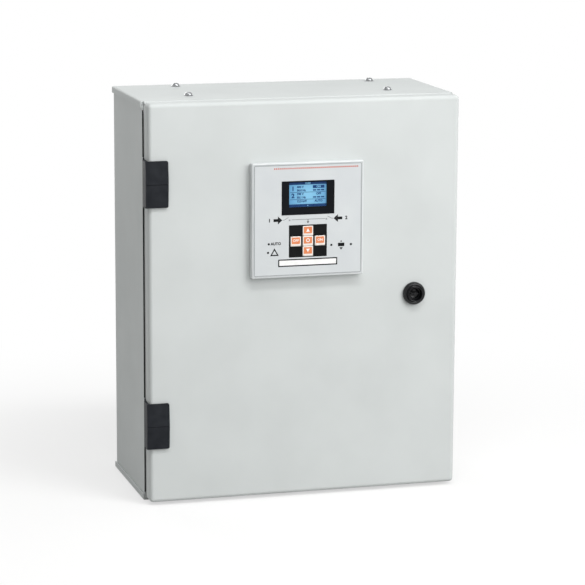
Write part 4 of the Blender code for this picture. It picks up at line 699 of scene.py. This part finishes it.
# painted shade: dark strips on the sides' front edges darken the gap beside the door; they stop short of the hinges
shadeStrip = {"wide": 1.5, "proud": 0.9, "sunk": 0.02, "ends": 9.0, "round": 0.5, "steps": 3, "hingeRoom": 1.0}
low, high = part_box("body_wrap")
bottom, top = low.z + shadeStrip["ends"] * mm, high.z - shadeStrip["ends"] * mm
room = shadeStrip["hingeRoom"] * mm
lowerHinge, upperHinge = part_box("hinge_leaf_lower"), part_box("hinge_leaf_upper")
left, right = low.x + shadeStrip["wide"] / 2 * mm, high.x - shadeStrip["wide"] / 2 * mm
lengths = [(left, bottom, lowerHinge[0].z - room), (left, lowerHinge[1].z + room, upperHinge[0].z - room),
           (left, upperHinge[1].z + room, top), (right, bottom, top)]
shadeStrips = []
for edgeX, start, end in lengths:
    made = block((shadeStrip["wide"], shadeStrip["proud"], (end - start) / mm),
                 (edgeX, low.y - (shadeStrip["proud"] / 2 + shadeStrip["sunk"]) * mm, (start + end) / 2))
    roundEdges(made, lambda a, b: max(a.y, b.y) < low.y - shadeStrip["proud"] / 2 * mm and abs(a.z - b.z) > mm,
               shadeStrip["round"], shadeStrip["steps"])
    smoothPiece(made)
    shadeStrips.append(made)
# the strips of painted shade take the black foam surface and are joined as one piece
bindOn("gapShadeStrips", shadeStrips, foamSeal, "enclosure", "foam")
print("edge strips made")

# roof screws: flanged domes with a round drive recess, on a threaded shank; (radius, height) from the middle out
roofScrew = {"head": [(0, 2.7), (1.8, 2.7), (2.1, 4.1), (2.4, 4.2), (3.4, 3.85), (4.1, 3.25), (4.55, 2.4), (4.7, 1.25),
                      (4.9, 1.0), (5.6, 0.9), (5.8, 0.65), (5.8, 0.2), (5.6, 0.02), (2.95, 0.02)],
             "thread": {"radius": 2.9, "depth": 0.35, "pitch": 1.0, "turns": 13, "first": 0.1},
             "end": [(2.3, -13.9), (0, -13.9)], "top": 4.2, "steps": 40}
screwMaster = turnedPiece(roofScrew["head"] + threadDown(**roofScrew["thread"]) + roofScrew["end"], roofScrew["steps"])
paint(screwMaster, brightNickel)
for number in (1, 2, 3, 4):
    node = f"roof_screw_{number}"
    low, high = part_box(node)
    screw = copyAt(screwMaster, ((low.x + high.x) / 2, (low.y + high.y) / 2, high.z - roofScrew["top"] * mm))
    screw.name = f"roofScrew.{number}"
    fitOn(screw, bodyOf[node], slotOf[node], node)
dropMaster(screwMaster)
print("roof screws made")

# quarter-turn lock: raised inner ring, domed outer ring and flange, threaded barrel; (radius, height) from the bore
lock = {"face": [(8.6, 5.4), (8.6, 8.5), (8.75, 8.85), (9.05, 9.0), (9.3, 9.0), (9.6, 8.8), (9.7, 8.4), (9.75, 6.0),
                 (10.1, 5.75), (10.6, 5.85), (11.2, 6.15), (11.9, 6.25), (12.6, 6.0), (13.3, 5.4), (13.9, 4.5),
                 (14.3, 3.4), (14.47, 2.2), (14.5, 1.2), (14.5, 0.45), (14.3, 0.3), (11.4, 0.3), (10.95, 0.1)],
        "thread": {"radius": 11.0, "depth": 0.35, "pitch": 1.5, "turns": 16, "first": 0.35},
        "end": [(10.5, -23.95), (8.6, -23.95), (8.6, 5.4)], "proud": 9.0, "steps": 72}
lockPlace = Matrix.Translation(faceOf("lock_housing", lock["proud"])) @ toFront
lockCase = turnedPiece(lock["face"] + threadDown(**lock["thread"]) + lock["end"], lock["steps"])
bindOn("lockCase", [lockCase], blackLacquer, "door", slotOf["lock_housing"], lockPlace, "lock_housing")
print("lock case made")

# core of the lock: a dish with a round pin and two bits that a socket key grips; (radius, height) from the pin
core = {"profile": [(0, 6.3), (1.2, 6.3), (1.55, 6.18), (1.7, 5.8), (1.7, 0.4), (2.1, 0), (5.0, 0), (5.6, 0.3),
                    (6.5, 2.85), (6.8, 3.15), (8.0, 3.15), (8.3, 2.85), (8.3, -24.3), (4.5, -24.3), (4.5, -28.8),
                    (4.0, -29.3), (0, -29.3)],
        "steps": 64, "bits": (9.3, 1.4, 5.8), "bitsUp": 2.5, "bitRound": 0.3}
bits = block(core["bits"], inMm(0, 0, core["bitsUp"]))
roundEdges(bits, lambda a, b: a.z > 0 and b.z > 0 or abs(a.z - b.z) > mm, core["bitRound"], 3)
smoothPiece(bits)
dish = turnedPiece(core["profile"], core["steps"])
bindOn("lockCore", [dish, bits], blackLacquer, "lock", slotOf["lock_core"], lockPlace, "lock_core")
print("lock core made")

# keys: white moulded caps with an orange pad and a white mark
key = {"width": 13.2, "height": 12.2, "thick": 4.0, "corner": 1.2, "edge": 0.5, "padWidth": 10.6, "padHeight": 8.2,
       "padCorner": 0.6, "padUp": 0.9, "padThick": 0.08, "arrow": (4.8, 4.2), "capital": 3.0, "heavy": 0.02,
       "ring": (2.5, 1.5)}
faceBack = key["padThick"] + inkThick / 2       # room for the pad and its mark within the key's own box
capMaster = block((key["width"], key["height"], key["thick"] - faceBack), inMm(0, 0, -(key["thick"] + faceBack) / 2))
paint(capMaster, keyWhite)
roundEdges(capMaster, lambda a, b: abs(a.z - b.z) > mm, key["corner"], 4)
roundEdges(capMaster, lambda a, b: min(a.z, b.z) > -faceBack * mm - slack, key["edge"], 3)
smoothPiece(capMaster)
keyMarks = {
    "key_up": flatShape([triangle(*key["arrow"], 1)]),
    "key_down": flatShape([triangle(*key["arrow"], -1)]),
    "key_left": lettering("OFF", key["capital"], 0, 0, key["heavy"]),
    "key_right": lettering("ON", key["capital"], 0, 0, key["heavy"]),
    "key_centre": flatShape([ring(radius) for radius in key["ring"]]),
}
for node, mark in keyMarks.items():
    face = faceOf(node)
    cap = copyAt(capMaster, face, toFront)
    pad = flatShape([roundedBox(key["padWidth"], key["padHeight"], key["padCorner"])], key["padThick"])
    paint(moved(pad, face + inMm(0, faceBack - key["padThick"] / 2, key["padUp"])), keyOrange)
    paint(moved(mark, face + inMm(0, inkThick / 2, key["padUp"])), whiteInk)
    fitOn(joinPieces([cap, pad, mark], "keyCap." + node.split("_")[1]), bodyOf[node], slotOf[node], node)
dropMaster(capMaster)
print("keys made")

# printed front sheet, in mm from the middle of the controller: frames have a size, a line and two corner radii, words
# a height and a place, tips a size, a way to point and a place, lines two ends
sheet = {
    "dot": (1.4, 1.9, 0.3), "dotPitch": 2.6, "dotsFrom": -43.0, "dotsTo": 66.0, "dotsUp": 64.6,
    "border": (138.0, 138.0, 0.7, (1.2, 0.6)), "plate": (76.4, 9.4, 1.5, (0.4, 0.2), 2, -53.5), "drawLine": 0.75,
    "arrowTip": 33.0, "arrowTail": 44.3, "arrowHead": 5.7, "arrowHigh": 9.8, "arrowShaft": 3.5, "arrowUp": 0.4,
    "arrowHole": 1.0, "holeIn": 3.6,
    "field": (49.0, 40.6, 0.6), "fieldUp": -26.6, "wellGap": 0.3,
    "words": [("1", 4.0, -49.5, 0.4), ("2", 4.0, 49.5, 0.4), ("AUTO", 3.2, -41.2, -28.9)],
    "tips": [(3.4, 2.2, -1, 0, -3.4), (2.6, 1.9, 1, 43.1, -28.6), (4.6, 3.0, -1, 43.1, -38.2)],
    "source": (8.2, 4.4, 0.4, 2, 43.1, -33.2), "alarm": [(11.2, 9.7, 1, -43.0, -39.15), (6.2, 5.4, 1, -43.0, -39.8)],
    "loadTick": (0, 0.3, 0, -2.4), "loadLine": (-21, 0.5, 22, 0.5),
    "switch": [(30.6, 0.5, 25.2, 3.6), (32.4, 0.5, 30.4, 0.5), (24.6, -0.9, 22.8, 0.9), (24.6, 0.9, 22.8, -0.9)],
}
sheetMiddle = faceOf("controller_overlay", -inkOut)
sheetPlace = Matrix.Translation(sheetMiddle)


def well(*keyNames):
    # opening round one key or a column of keys
    corners = [(corner - sheetMiddle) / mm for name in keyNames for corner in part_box(name)]
    gap = sheet["wellGap"]
    left, right = min(corner.x for corner in corners) - gap, max(corner.x for corner in corners) + gap
    under, over = min(corner.z for corner in corners) - gap, max(corner.z for corner in corners) + gap
    return [(left, under), (left, over), (right, over), (right, under)]


def arrow(side):
    tip, tail, up = side * sheet["arrowTip"], side * sheet["arrowTail"], sheet["arrowUp"]
    neck = tip + side * sheet["arrowHead"]
    half, shaft = sheet["arrowHigh"] / 2, sheet["arrowShaft"] / 2
    return [[(tip, up), (neck, up + half), (neck, up + shaft), (tail, up + shaft), (tail, up - shaft),
             (neck, up - shaft), (neck, up - half)], ring(sheet["arrowHole"], 16, tip + side * sheet["holeIn"], up)]


plate = border(*sheet["plate"])
blackMarks = [flatShape([roundedBox(*sheet["field"], 3, 0, sheet["fieldUp"]), well("key_up", "key_centre", "key_down"),
                         well("key_left"), well("key_right")]),
              flatShape(plate), flatShape(arrow(-1)), flatShape(arrow(1)),
              flatShape([bar(*sheet["loadTick"], sheet["drawLine"])]), flatShape([roundedBox(*sheet["source"])]),
              flatShape([triangle(*outline) for outline in sheet["alarm"]])]
blackMarks += [flatShape([triangle(*tip)]) for tip in sheet["tips"]]
blackMarks += [lettering(*word) for word in sheet["words"]]
greyMarks = [flatShape(border(*sheet["border"])), flatShape([bar(*sheet["loadLine"], sheet["drawLine"])])]
greyMarks += [flatShape([bar(side * fromX, fromZ, side * toX, toZ, sheet["drawLine"])])
              for side in (-1, 1) for fromX, fromZ, toX, toZ in sheet["switch"]]
dots = int((sheet["dotsTo"] - sheet["dotsFrom"]) / sheet["dotPitch"]) + 1
orangeMarks = [flatShape([roundedBox(*sheet["dot"], 2, sheet["dotsFrom"] + sheet["dotPitch"] * i, sheet["dotsUp"])
                          for i in range(dots)])]
for name, marks, surface in (("printBlack", blackMarks, blackInk), ("printGrey", greyMarks, greyInk),
                             ("printOrange", orangeMarks, orangeInk), ("printWhite", [flatShape(plate[1:])], whiteInk)):
    bindOn(name, marks, surface, "door", "printed_sheet", sheetPlace)

# small lenses of the signal lamps, domed through the sheet
lens = {"profile": [(0, 0.3), (0.5, 0.27), (1.0, 0.18), (1.35, 0.08), (1.45, 0), (1.45, -0.2), (0, -0.2)],
        "steps": 20, "smooth": 50, "lift": 0.01,
        "spots": [(-50.3, -28.9), (-51.2, -39.6), (30.4, -33.2), (55.8, -33.2), (-36.6, 0.4), (36.6, 0.4)]}
lensMaster = turnedPiece(lens["profile"], lens["steps"], lens["smooth"])
lenses = [copyAt(lensMaster, inMm(x, -lens["lift"], z), toFront) for x, z in lens["spots"]]
dropMaster(lensMaster)
bindOn("signalLenses", lenses, ledEpoxy, "door", "printed_sheet", sheetPlace)
print("front sheet printed")

# display: dark bars and generic readings of two supplies behind the window, in mm from the middle of the view
readout = {
    "bar": (48.5, 3.4, 0.1), "barUp": 13.8, "rules": (2.7, -6.2), "ruleHalf": 22.75, "ruleLine": 0.5,
    "capital": 2.5, "readingX": -14.0,
    "readings": [("400 V", 9.2), ("50.0 Hz", 5.0), ("398 V", 0.4), ("50.1 Hz", -3.8), ("12.5 kW", -8.6)],
    "numbers": [("1", 5.2, -19.0, 7.1), ("2", 5.2, -19.0, -1.7)],
    "states": [("OFF", 2.5, 14.0, 0.4), ("AUTO", 2.5, 14.0, -8.6)],
    "onField": (15.0, 3.8, 0.4, 2, 14.0, 9.2), "paleWords": [("ON", 2.4, 14.0, 9.2), ("12:00", 2.2, 0, 13.8)],
    "level": (4.2, 1.6, 0.2), "levelX": (8.8, 14.0, 19.2), "levelUp": (5.0, -3.8), "tab": (2.2, 1.6), "paleOut": 0.8,
}
viewPlace = Matrix.Translation(faceOf("display_screen", -inkOut))
darkMarks = [flatShape([roundedBox(*readout["bar"], 1, 0, side * readout["barUp"])]) for side in (-1, 1)]
darkMarks += [flatShape([bar(-readout["ruleHalf"], up, readout["ruleHalf"], up, readout["ruleLine"])])
              for up in readout["rules"]]
darkMarks += [lettering(words, readout["capital"], readout["readingX"], up, align="LEFT")
              for words, up in readout["readings"]]
darkMarks += [lettering(*word) for word in readout["numbers"] + readout["states"]]
darkMarks.append(flatShape([roundedBox(*readout["onField"])]))
darkMarks += [flatShape([roundedBox(*readout["level"], 1, x, up)])
              for up in readout["levelUp"] for x in readout["levelX"]]
bindOn("readoutDark", darkMarks, segmentBlue, "door", "screen", viewPlace)
paleMarks = [lettering(*word) for word in readout["paleWords"]]
paleMarks.append(flatShape([triangle(*readout["tab"], 1, 0, -readout["barUp"])]))
inFront = Matrix.Translation(inMm(0, -inkThick * readout["paleOut"], 0))
bindOn("readoutPale", paleMarks, backlitBlue, "door", "screen", viewPlace @ inFront)
print("display filled")

# heads with a rounded rim and one driver slot, or two for a cross, in shares of the radius and the height; each
# stops some radians further than the one before
drive = {"rim": 0.22, "rimStep": 0.3, "slotWide": 0.27, "slotLong": 2.4, "crossLong": 1.3, "slotDeep": 1.1, "steps": 24,
         "stop": 0.9}


def screwHead(radius, tall, slots):
    rim = drive["rim"] * radius
    step = drive["rimStep"] * rim
    head = turnedPiece([(0, tall), (radius - rim, tall), (radius - step, tall - step), (radius, tall - rim),
                        (radius, 0), (0, 0)], drive["steps"])
    slotLong = drive["crossLong" if slots > 1 else "slotLong"]
    for turn in range(slots):
        cutter = block((slotLong * radius, drive["slotWide"] * radius, drive["slotDeep"] * tall), inMm(0, 0, tall),
                       turn * math.pi / 2)
        useModifier(head, "BOOLEAN", object=cutter, operation="DIFFERENCE", solver="EXACT")
        dropMaster(cutter)
    smoothPiece(head)
    return head


def screwIn(spots, radius, tall, slots, facing=toFront):
    master = screwHead(radius, tall, slots)
    copies = [copyAt(master, spot, facing @ Matrix.Rotation(drive["stop"] * i, 4, "Z")) for i, spot in enumerate(spots)]
    dropMaster(master)
    return copies


# screws of the devices, the rails and the gland plate
loose = {"rail": {"head": 4.6, "tall": 2.8, "spots": [(-112.5, 88.2, 415), (112.5, 88.2, 415), (80.5, 88.2, 78)],
                  "facing": toFront},
         "gland": {"head": 4.2, "tall": 2.8, "spots": [(x, y, 6.1) for x in (-151, 0, 151) for y in (-26, 76)],
                   "facing": upwards}}
heads = []
for node, row in screwRows.items():
    heads += screwIn([spot + inMm(0, row["depth"], 0) for spot in screwSpots(node)], row["head"], row["tall"],
                     row["slots"])
for row in loose.values():
    heads += screwIn([inMm(*spot) for spot in row["spots"]], row["head"], row["tall"], 2, row["facing"])
bindOn("deviceScrews", heads, zincPlate, "enclosure", "steel")
print("device screws made")

# screws behind the door, on the housing, the clamps and the plug; heads as radius, height and slots
rear = {"corner": 62.0, "cornerHead": (2.6, 1.2, 2), "clampX": 70.6, "clampHead": (1.7, 1.4, 1),
        "plugPoles": 12, "plugIn": 3.1, "plugHead": (1.7, 0.35, 1)}
low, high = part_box("controller_housing")
housingBack = Vector((0, high.y, (low.z + high.z) / 2))
heads = screwIn([housingBack + inMm(across * rear["corner"], 0, up * rear["corner"]) for across in (-1, 1)
                 for up in (-1, 1)], *rear["cornerHead"], toBack)
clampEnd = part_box("controller_clamp_left")[1].y
heads += screwIn([Vector((side * rear["clampX"] * mm, clampEnd, housingBack.z)) for side in (-1, 1)],
                 *rear["clampHead"], toBack)
low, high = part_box("controller_plug")
pitch = (high.x - low.x) / rear["plugPoles"]
heads += screwIn([Vector((low.x + pitch * (i + 0.5), high.y - rear["plugIn"] * mm, high.z))
                  for i in range(rear["plugPoles"])], *rear["plugHead"], upwards)
bindOn("rearScrews", heads, zincPlate, "door", "steel")
print("rear screws made")

# nuts on the studs of the mounting plate, and on the earth stud inside the door
plateNut = {"flats": 13.0, "hole": 4.05, "tall": 6.5, "washer": 8.4,
            "spots": [(x, z) for x in (-125, 125) for z in (40, 464)]}
doorNut = {"flats": 10.0, "hole": 3.05, "tall": 5.0, "washer": 6.2, "spots": [(-140, 64)], "sheet": 1.5}
washer = {"thick": 1.4, "play": 0.2, "steps": 32}
nutEdge = {"round": 0.5, "steps": 2, "outside": 1.0}     # rounded where it is this far outside the hole


def nutsOn(name, nut, front, facing, body):
    # chamfered nuts on their washers, with the back of each washer on the front plane
    master = flatShape([ring(nut["flats"] / math.sqrt(3), 6), ring(nut["hole"])], nut["tall"])
    outside = (nut["hole"] + nutEdge["outside"]) * mm
    roundEdges(master, lambda a, b: all(p.y < 0 and math.hypot(p.x, p.z) > outside for p in (a, b)),
               nutEdge["round"], nutEdge["steps"])
    under = flatShape([ring(nut["washer"], washer["steps"]), ring(nut["hole"] + washer["play"])], washer["thick"])
    moved(master, inMm(0, -washer["thick"] - nut["tall"] / 2, 0))
    master = joinPieces([master, moved(under, inMm(0, -washer["thick"] / 2, 0))], "nutMaster")
    smoothPiece(master, 30)
    nuts = [copyAt(master, (x * mm, front, z * mm), facing) for x, z in nut["spots"]]
    dropMaster(master)
    bindOn(name, nuts, zincPlate, body, "steel")


nutsOn("plateNuts", plateNut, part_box("mounting_plate")[0].y, upwards, "enclosure")
nutsOn("doorEarthNut", doorNut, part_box("door_panel")[0].y + doorNut["sheet"] * mm, turnedRound, "door")
print("nuts made")

# numbered tags of the terminals, labels of the devices; sizes are width and height
labels = {"thick": 0.3, "corner": 0.5, "terminalHigh": 6.4, "terminalGap": 0.5,
          "contactorTag": (26.0, 10.0), "contactorCapital": 6.0, "contactorUp": 22.0,
          "contactorPlate": (46.0, 13.0), "contactorDown": -20.5, "breakerPlate": (44.0, 7.2), "breakerX": -6.0,
          "breakerUp": 14.9, "stateCapital": 4.6, "stateX": 26.0, "rearSize": (84.0, 44.0), "rearUp": 22.0}


def tag(spot, width, height, words="", capital=0, facing=upwards):
    # white tag, bare or with a number on it
    plate = flatShape([roundedBox(width, height, labels["corner"], 2)], labels["thick"])
    paint(moved(plate, inMm(0, -labels["thick"] / 2, 0)), whiteInk)
    parts = [plate]
    if words:
        number = lettering(words, capital, 0, 0)
        paint(moved(number, inMm(0, -labels["thick"] - inkOut, 0)), blackInk)
        parts.append(number)
    for part in parts:
        part.data.transform(Matrix.Translation(spot) @ facing)
    return parts


tags = []
for node, row in screwRows.items():
    if "number" in row:
        face = faceOf(node)
        face.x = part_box(node)[0].x
        for i in range(row["count"]):
            tags += tag(face + inMm(row["pitch"] * (i + 0.5), 0, 0), row["pitch"] - labels["terminalGap"],
                        labels["terminalHigh"], str(i + 1), row["number"])
for number in (1, 2):
    face = faceOf(f"contactor_{number}_cover")
    tags += tag(face + inMm(0, 0, labels["contactorUp"]), *labels["contactorTag"], str(number),
                labels["contactorCapital"])
    tags += tag(face + inMm(0, 0, labels["contactorDown"]), *labels["contactorPlate"])
    face = faceOf(f"breaker_{number}")
    tags += tag(face + inMm(labels["breakerX"], 0, -labels["breakerUp"]), *labels["breakerPlate"])
    for words, up in (("I", labels["breakerUp"]), ("O", -labels["breakerUp"])):
        mark = lettering(words, labels["stateCapital"], labels["stateX"], up)
        paint(moved(mark, face + inMm(0, -inkOut, 0)), blackInk)
        tags.append(mark)
fitOn(joinPieces(tags, "deviceTags"), "enclosure", "white_plastic")
rearLabel = tag(housingBack + inMm(0, 0, labels["rearUp"]), *labels["rearSize"], facing=turnedRound)
fitOn(joinPieces(rearLabel, "rearLabel"), "door", "white_plastic")
print("tags and labels made")
